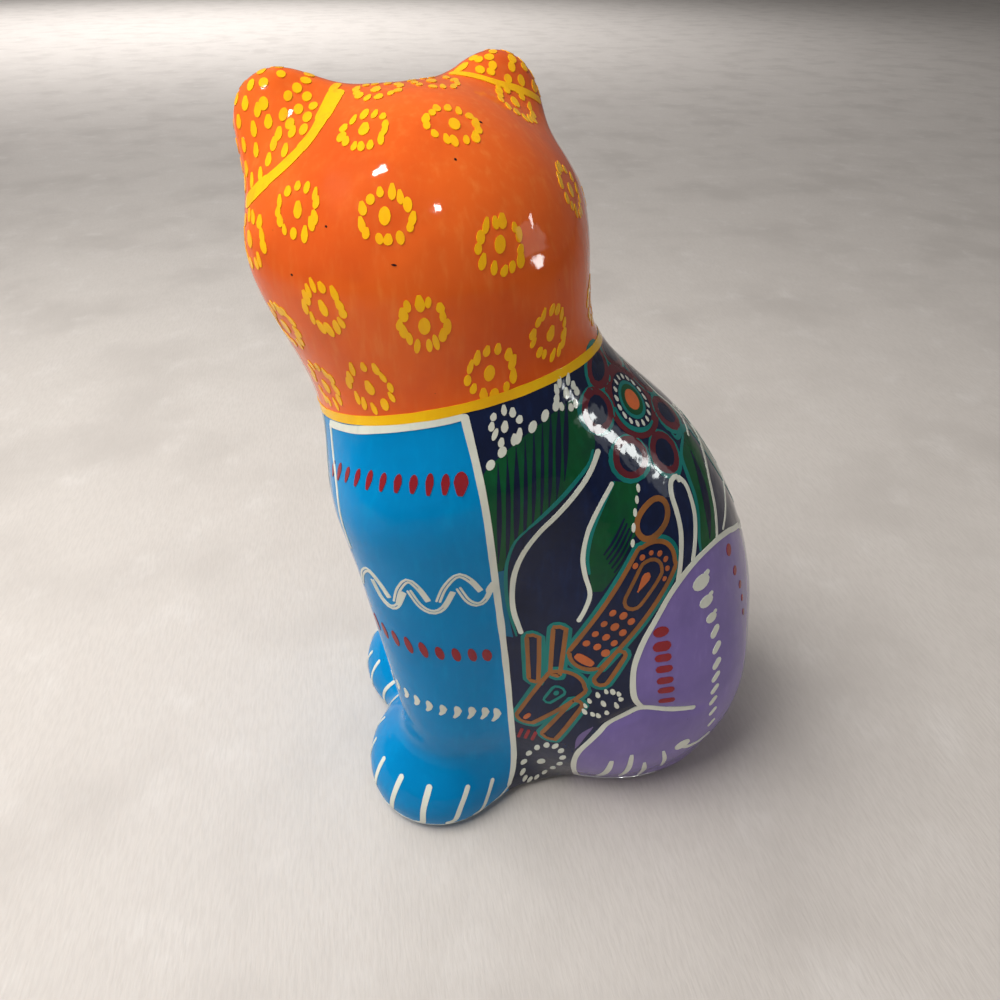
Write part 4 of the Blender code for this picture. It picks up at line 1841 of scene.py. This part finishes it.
@dataclass
class HarePicture:
    """A plain hare made of round-ended loops, leaping down the left flank, in brown edged with turquoise.

    Attributes:
        width: Width of its brown line.
        edging: Width of the turquoise that shows outside the line.
        body: The body, forward end at the rump.
        thigh: The thigh inside it.
        head: The head, forward end at the neck.
        limbs: The two ears and the two legs.
        tail: The round tail.
        spot: Length of a spot on the body.
    """

    width: float = 1.1
    edging: float = 0.8
    body: Loop = Loop((11.8, 75.8), 18.2, 5.9, 4.6, 57.0)
    thigh: Loop = Loop((16.2, 82.6), 6.2, 3.0, 2.3, 57.0)
    head: Loop = Loop((-4.6, 47.2), 12.0, 4.6, 2.4, 60.0)
    limbs: tuple[Loop, ...] = (
        Loop((-8.2, 60.6), 8.2, 1.4, 1.1, 92.0), Loop((-2.9, 64.4), 8.2, 1.4, 1.1, 88.0),
        Loop((-0.9, 40.5), 9.2, 1.4, 1.8, 68.0), Loop((9.4, 60.2), 5.8, 1.4, 1.7, 62.0))
    tail: Loop = Loop((18.8, 96.6), 4.2, 3.4, 3.4, 30.0)
    spot: float = 2.0

    def build(self, skin: Skin) -> None:
        """Paint the hare.

        Args:
            skin: What is painted.
        """
        chart = FlatChart.side(Hand.LEFT)
        edge = Brush(skin, "hare_edging", Paint.TEAL, EDGE_LIFT)
        line = Brush(skin, "hare_outline", Paint.BROWN, LINE_LIFT)
        dots = Brush(skin, "hare_dots", Paint.AMBER, DOT_LIFT)
        for loop in (self.body, self.head, *self.limbs):
            edge.stroke(spots(skin, chart, *loop.places(self.edging)), self.edging + 0.5, closed=True)
            line.stroke(spots(skin, chart, *loop.places()), self.width, closed=True)
        line.stroke(spots(skin, chart, *self.tail.places()), 1.3 * self.width, closed=True)
        line.stroke(spots(skin, chart, *self.thigh.places()), 0.8 * self.width, closed=True)
        self.paint_spots(skin, chart, dots)
        self.paint_eye(skin, chart, edge)
        for brush in (edge, line, dots):
            brush.done()
        self.paint_ticks(skin, chart)

    def paint_spots(self, skin: Skin, chart: FlatChart, dots: Brush) -> None:
        """Lay the spots of the body and thigh, the thigh's comma, the neck's splash and the nose.

        Args:
            skin: What is painted.
            chart: That side's chart.
            dots: Brush of the spots.
        """
        for across in (-0.46, 0.0, 0.46):
            for item in range(4):
                place = self.body.within(-0.58 + 0.19 * item - 0.06 * abs(across), across)
                easel = Easel.on(skin, chart, *place)
                length = dots.uneven(self.spot, 0.15)
                dots.dab(easel, 0, 0, length, 0.86 * length, 50, Tip.OVAL)
        for place in self.thigh.places((self.body.front - self.thigh.front) / 2)[:7]:
            easel = Easel.on(skin, chart, *place)
            length = dots.uneven(0.7 * self.spot, 0.15)
            dots.dab(easel, 0, 0, length, 0.86 * length, 50, Tip.OVAL)
        comma = [self.thigh.within(along, 0.12) for along in (0.5, 0.1, -0.3)]
        dots.stroke(spots(skin, chart, *comma), 2.2, Tip.COMMA)
        splash = [self.body.within(-0.86, across) for across in (0.42, 0.0, -0.42)]
        dots.stroke(spots(skin, chart, *splash), 2.4, Tip.TAPER)
        nose = [self.head.within(along, 0.0) for along in (-0.9, -0.66)]
        dots.stroke(spots(skin, chart, *nose), 1.2, Tip.TAPER)

    def paint_eye(self, skin: Skin, chart: FlatChart, edge: Brush) -> None:
        """Draw the round-ended eye and its pupil.

        Args:
            skin: What is painted.
            chart: That side's chart.
            edge: Brush of the turquoise.
        """
        eye = Loop(self.head.within(0.22, 0.0), 3.6, 1.5, 0.9, self.head.angle)
        edge.stroke(spots(skin, chart, *eye.places()), 0.7, closed=True)
        easel = Easel.on(skin, chart, *eye.within(0.3, 0.0))
        edge.dab(easel, 0, 0, 1.8, 1.3, self.head.angle, Tip.OVAL)

    @staticmethod
    def paint_ticks(skin: Skin, chart: FlatChart) -> None:
        """Lay a row of short slanted ticks under the hare.

        Args:
            skin: What is painted.
            chart: That side's chart.
        """
        ticks = Brush(skin, "hare_scrawl", Paint.RED, LINE_LIFT)
        for item in range(3):
            start = -11.2 + 1.7 * item
            ticks.stroke(spots(skin, chart, (start, 28.6), (start + 0.9, 33.4)), 0.9)
        ticks.done()


# ---------- Haunches, back and tail ----------


@dataclass
class Haunches:
    """The white outlines, commas, toes and red dabs of the purple haunches and hind feet.

    Attributes:
        outline: Width of the white outlines.
        blobs: Width of each of the upper drops of the white row, which the brush left as blobs.
        drops: Where the drops of the white row are, from the top.
        red_drops: Heights of the red row's dabs, from the top.
        back_dabs: Across, height and length of each red dab near the back.
    """

    outline: float = 1.45
    blobs: tuple[float, ...] = (4.0, 3.2, 2.6)
    drops: Pairs = (
        (32.9, 78.1), (34.8, 72.4), (36.7, 67.2), (37.6, 62.6), (38.4, 57.9), (38.8, 53.2), (38.9, 49.2),
        (39.1, 45.1), (39.2, 41.0), (40.0, 36.3), (40.8, 30.6))
    red_drops: tuple[float, ...] = (69.0, 64.8, 61.4, 58.0, 54.4, 51.2, 47.6)
    back_dabs: tuple[Triple, ...] = (
        (42.7, 79.2, 3.2), (45.3, 72.6, 2.6), (48.0, 67.0, 2.2), (49.2, 62.6, 1.9), (49.9, 58.4, 1.8))

    def build(self, skin: Skin) -> None:
        """Paint both haunches.

        Args:
            skin: What is painted.
        """
        white = Brush(skin, "haunch_outlines", Paint.WHITE, DOT_LIFT)
        commas = Brush(skin, "haunch_commas", Paint.WHITE)
        red = Brush(skin, "haunch_red_dabs", Paint.RED)
        smear = Brush(skin, "foot_smear", Paint.PURPLE, FILL_LIFT)
        back = FlatChart.back()
        across_back = ((-14, 76.5), (-7, 73.5), (0, 72.5), (7, 73.5), (14, 76.5))
        white.stroke([back.spot(skin, *place) for place in across_back], self.outline)
        for hand in Hand:
            chart = FlatChart.side(hand)
            start = [back.spot(skin, 14 * hand.value, 76.5)]
            white.stroke(start + spots(skin, chart, *HAUNCH_EDGE[1:]), self.outline)
            foot = FOOT_EDGE if hand is Hand.LEFT else FOOT_EDGE[:-1]
            white.stroke(spots(skin, chart, *BACK_FOOT_LINE, *foot), self.outline)
            self.paint_marks(skin, chart, commas, red)
            if hand is Hand.LEFT:
                white.stroke(spots(skin, chart, (5.6, 8.0), (8.4, 4.6), (14, 3.4), (22, 3.2), (30, 4.0)), 0.8,
                             Tip.TAPER)
                self.paint_toes(skin, chart, commas)
        smear.stroke(spots(skin, FlatChart.side(Hand.LEFT), (6.4, 39.8), (3.9, 35.2), (2.8, 29.6)), 1.7,
                     Tip.LEAF)
        for brush in (white, commas, red, smear):
            brush.done()

    def paint_marks(self, skin: Skin, chart: FlatChart, commas: Brush, red: Brush) -> None:
        """Lay one haunch's commas and dabs.

        Args:
            skin: What is painted.
            chart: That side's chart.
            commas: Brush of the commas.
            red: Brush of the red dabs.
        """
        way = -chart.toward.x
        for item, place in enumerate(self.drops):
            easel = Easel.on(skin, chart, *place)
            if item < len(self.blobs):
                self.paint_blob(easel, commas, self.blobs[item], way)
                continue
            share = item / (len(self.drops) - 1)
            lean = 90 + (38 + 12 * share - 90) * way
            commas.dab(easel, 0, 0, 4.4 - 1.4 * share, 2.5 - 1.3 * share, lean, Tip.ROUND)
        top_sizes = ((4.2, 2.8), (4.9, 2.6), (4.5, 2.4))
        for item, height in enumerate(self.red_drops):
            easel = Easel.on(skin, chart, 21.5 + 0.52 * item, height)
            length, width = top_sizes[item] if item < len(top_sizes) else (4.6, 2.5 - 0.15 * item)
            tip = Tip.OVAL if item == 0 else Tip.ROUND
            red.dab(easel, 0, 0, length, red.uneven(width, 0.08), -7 * way, tip)
        for across, height, length in self.back_dabs:
            easel = Easel.on(skin, chart, across, height)
            red.dab(easel, 0, 0, length, length * 0.8, 80, Tip.OVAL)

    @staticmethod
    def paint_blob(easel: Easel, commas: Brush, size: float, way: float) -> None:
        """Lay one blob with the small hook that the lifted brush left.

        Args:
            easel: The drawing frame.
            commas: Brush of the commas.
            size: The blob's width.
            way: 1 on the left side and -1 on the right.
        """
        commas.dab(easel, -0.6 * way, -0.4, size, size * 1.45, 90, Tip.OVAL)
        hook = [easel.spot(0, 0), easel.spot(size * 0.42 * way, size * 0.32),
                easel.spot(size * 0.62 * way, size * 0.2)]
        commas.stroke(hook, size * 0.4, Tip.TAPER)

    @staticmethod
    def paint_toes(skin: Skin, chart: FlatChart, commas: Brush) -> None:
        """Lay the strokes that part one hind foot's toes, and the drop behind them.

        Args:
            skin: What is painted.
            chart: That side's chart.
            commas: Brush of the commas.
        """
        way = -chart.toward.x
        for top, bottom, width in (((12.9, 23.6), (11.6, 7.4), 1.9), ((17.9, 26.4), (18.0, 8.0), 1.6),
                                   ((22.5, 20.2), (24.0, 6.4), 1.4), ((27.0, 25.2), (29.4, 12.4), 1.2)):
            middle = ((top[0] + bottom[0]) / 2 + 0.5, (top[1] + bottom[1]) / 2)
            commas.stroke(spots(skin, chart, top, middle, bottom), width, Tip.TAPER)
        commas.dab(Easel.on(skin, chart, 32.6, 25.6), 0, 0, 4.8, 4.4, 60 * way, Tip.OVAL)
        commas.stroke(spots(skin, chart, (32.8, 24.2), (35.4, 22.6), (38.6, 22.4), (42.0, 24.4)), 1.8,
                      Tip.TAPER)


@dataclass
class FarFlank:
    """The plainer right flank: its flower and leaves come from the left, with rosettes below them.

    Attributes:
        rosettes: Where the rosettes are.
        ring: Radius of the turquoise ring round each.
    """

    rosettes: Pairs = (
        (-5.5, 87.0), (-6.0, 71.5), (5.5, 63.0), (-5.0, 50.0), (-4.0, 34.0))
    ring: float = 6.6

    def build(self, skin: Skin) -> None:
        """Paint the flank's rosettes.

        Args:
            skin: What is painted.
        """
        chart = FlatChart.side(Hand.RIGHT)
        white = Brush(skin, "right_flank_rosettes", Paint.WHITE)
        teal = Brush(skin, "right_flank_rings", Paint.TEAL, EDGE_LIFT)
        for place in self.rosettes:
            easel = Easel.on(skin, chart, *place)
            white.rosette(easel, 4.4, 11, (1.8, 1.15), (2.2, 1.5))
            teal.stroke([easel.polar(self.ring, angle) for angle in range(0, 360, 30)], 0.8, closed=True)
        white.done()
        teal.done()


@dataclass
class BackAndTail:
    """Leaves and rosettes down the middle of the back, and the dark tail with its row of dabs.

    Attributes:
        leaf: Where one of the two leaves runs, as distances to the side and heights.
        leaf_width: Width of a leaf.
        rosettes: Height and radius of each rosette.
        tail_dabs: How many dabs the tail has.
    """

    leaf: Pairs = ((3.0, 80.0), (6.5, 88.0), (7.0, 97.0), (4.0, 105.0))
    leaf_width: float = 6.5
    rosettes: Pairs = (
        (86.0, 2.6), (98.0, 2.6), (62.0, 5.2), (46.0, 4.6), (31.0, 4.0))
    tail_dabs: int = 12

    def build(self, skin: Skin) -> None:
        """Paint the back and the tail.

        Args:
            skin: What is painted.
        """
        back = FlatChart.back()
        green = Brush(skin, "back_leaves", Paint.GREEN, FILL_LIFT)
        teal = Brush(skin, "back_leaf_edges", Paint.TEAL, EDGE_LIFT)
        white = Brush(skin, "back_rosettes", Paint.WHITE)
        for way in (-1, 1):
            path = [back.spot(skin, across * way, height) for across, height in self.leaf]
            green.stroke(path, self.leaf_width, Tip.LEAF)
            for shift in (3.2, -3.2):
                teal.stroke(path, 1.0, Tip.TAPER, shift=shift)
        for height, radius in self.rosettes:
            easel = Easel.on(skin, back, 0.0, height)
            white.rosette(easel, radius, round(4 + 1.6 * radius), (0.9 + 0.24 * radius, 1.2), (2.0, 1.4))
        for brush in (green, teal, white):
            brush.done()
        self.paint_tail(skin)

    def paint_tail(self, skin: Skin) -> None:
        """Fill and outline the tail and lay a row of dabs along it.

        Args:
            skin: What is painted.
        """
        chart = RoundChart()
        navy = Brush(skin, "tail_colour", Paint.NAVY, EDGE_LIFT)
        white = Brush(skin, "tail_outline", Paint.WHITE)
        dabs = Brush(skin, "tail_dabs", Paint.YELLOW)
        top = ((96, 4), (99, 14), (106, 20), (120, 20.5), (140, 18.6), (160, 16.8), (176, 15.4), (184, 11),
               (187, 4))
        bottom = [(bearing, 2.4) for bearing, _ in top]
        white.stroke(spots(skin, chart, *top), 1.6)
        navy.fill(spots(skin, chart, *top), spots(skin, chart, *bottom))
        navy.done()
        for item in range(self.tail_dabs):
            easel = Easel.on(skin, chart, 104 + 6.6 * item, 11.5 - 0.2 * item)
            dabs.dab(easel, 0, 0, dabs.uneven(4.2, 0.1), 1.6, 75)
        white.done()
        dabs.done()


# ---------- Floor, light and camera ----------


class Use(Enum):
    """What a lamp is for."""

    LIGHT = "lights surfaces, and is too soft to show as a reflection"
    GLINT = "shows only as a reflection in the lacquer"


@dataclass(frozen=True)
class SoftLight:
    """An area light that looks at the cat.

    Attributes:
        name: Its name.
        use: What it is for.
        bearing: Where it stands, in degrees from the cat's left towards its back.
        rise: How high it stands, in degrees.
        distance: How far off, in metres.
        size: Its width and height, in metres.
        power: Its power in watts.
        colour: Its colour.
    """

    name: str
    use: Use
    bearing: float
    rise: float
    distance: float
    size: Pair
    power: float
    colour: Colour = (1.0, 1.0, 1.0)

    def build(self, target: Vector) -> None:
        """Hang the light.

        Args:
            target: The point that it looks at.
        """
        turn, lift = math.radians(self.bearing), math.radians(self.rise)
        way = Vector((math.cos(turn) * math.cos(lift), math.sin(turn) * math.cos(lift), math.sin(lift)))
        lamp = bpy.data.lights.new(self.name, "AREA")
        lamp.shape = "RECTANGLE"
        lamp.size, lamp.size_y = self.size
        lamp.energy = self.power
        lamp.color = self.colour
        holder = add_to_scene(self.name, lamp)
        holder.location = target + way * self.distance
        holder.rotation_euler = way.to_track_quat("Z", "Y").to_euler()
        holder.visible_glossy = self.use is Use.GLINT
        holder.visible_diffuse = self.use is Use.LIGHT
        holder.visible_camera = False


@dataclass
class Studio:
    """A pale cloth floor, soft lights and the camera.

    The places and sizes here are in metres, and the far lamp's power is in watts. The bearing is the
    camera's turn about the upright, the pitch is how far down it looks, and the lens is its focal length.
    The far lamp hangs over the floor far behind the cat, and its spread is the angle that it lights.
    """

    floor_radius: float = 8.0
    floor_drop: float = 0.0002
    camera_place: Triple = (0.1560, -0.0373, 0.1997)
    camera_bearing: float = 80.567
    camera_pitch: float = 36.493
    lens: float = 27.07
    sky: Colour = (1.0, 0.985, 0.97)
    sky_strength: float = 0.17
    lights: tuple[SoftLight, ...] = (
        SoftLight("key", Use.LIGHT, -75.0, 57.0, 0.6, (0.4, 0.4), 3.7, (1.0, 0.99, 0.96)),
        SoftLight("side", Use.LIGHT, -120.0, 48.0, 0.65, (0.4, 0.4), 1.5, (1.0, 0.99, 0.96)),
        SoftLight("fill", Use.LIGHT, 30.0, 20.0, 1.2, (0.7, 0.7), 1.3, (1.0, 0.97, 0.95)),
        SoftLight("lamp", Use.GLINT, 11.0, 58.0, 1.6, (0.10, 0.13), 4.4),
        SoftLight("ear_lamp", Use.GLINT, -85.0, 68.0, 1.6, (0.10, 0.20), 4.6),
        SoftLight("window", Use.GLINT, 70.5, 17.4, 0.2414, (0.031, 0.020), 0.055, (0.96, 1.0, 0.98)),
        SoftLight("far_window", Use.GLINT, 84.0, 26.0, 1.1, (0.08, 0.16), 0.8, (0.98, 1.0, 1.0)),
        SoftLight("window_glow", Use.GLINT, 76.0, 19.0, 1.1, (0.36, 0.36), 0.6, (0.96, 1.0, 1.0)),
    )
    far_lamp_place: Triple = (-2.6, -0.6, 1.7)
    far_lamp_size: float = 2.2
    far_lamp_spread: float = 120.0
    far_lamp_power: float = 38.0

    def build(self) -> None:
        """Set the stage."""
        self.lay_floor()
        low, high = CAD_BOX
        target = (low + high) / 2
        for light in self.lights:
            light.build(target)
        self.light_far_floor()
        self.light_sky()
        self.set_camera()
        bpy.context.scene.view_settings.view_transform = "Standard"

    def lay_floor(self) -> None:
        """Lay the cloth just under the cat."""
        edit = bmesh.new()
        bmesh.ops.create_circle(edit, cap_ends=True, segments=96, radius=self.floor_radius)
        bmesh.ops.translate(edit, verts=edit.verts, vec=(0.0, 0.0, -self.floor_drop))
        mesh = bpy.data.meshes.new("cloth_floor")
        edit.to_mesh(mesh)
        edit.free()
        mesh.materials.append(ClothFloorFinish().material("cloth_floor"))
        floor = add_to_scene("cloth_floor", mesh)

    def light_far_floor(self) -> None:
        """Hang a lamp that looks straight down at the cloth far behind the cat."""
        lamp = bpy.data.lights.new("far_floor_lamp", "AREA")
        lamp.size = self.far_lamp_size
        lamp.spread = math.radians(self.far_lamp_spread)
        lamp.energy = self.far_lamp_power
        holder = add_to_scene("far_floor_lamp", lamp)
        holder.location = self.far_lamp_place
        holder.visible_glossy = False
        holder.visible_camera = False

    def light_sky(self) -> None:
        """Fill the room with soft, even light."""
        world = bpy.data.worlds.new("soft_room")
        world.use_nodes = True
        sky = world.node_tree.nodes["Background"]
        sky.inputs["Color"].default_value = (*self.sky, 1.0)
        sky.inputs["Strength"].default_value = self.sky_strength
        bpy.context.scene.world = world

    def set_camera(self) -> None:
        """Place the camera."""
        lens = bpy.data.cameras.new("camera")
        lens.lens = self.lens
        lens.clip_start = 0.01
        camera = add_to_scene("camera", lens)
        camera.location = self.camera_place
        tilt = math.radians(90.0 - self.camera_pitch)
        camera.rotation_euler = (tilt, 0.0, math.radians(self.camera_bearing))
        bpy.context.scene.camera = camera


def main() -> None:
    """Build the cat's looks and the stage, in order."""
    logging.basicConfig(level=logging.INFO, format="%(name)s: %(message)s")
    skin = GlazedBody().build()
    Studio().build()
    HeadBrushwork().build(skin)
    PaintedFace().build(skin)
    FrontPanel().build(skin)
    for hand in Hand:
        LeafSpray().build(skin, hand)
        Flower().build(skin, hand)
    HarePicture().build(skin)
    Haunches().build(skin)
    FarFlank().build(skin)
    BackAndTail().build(skin)


if __name__ == "__main__":
    main()
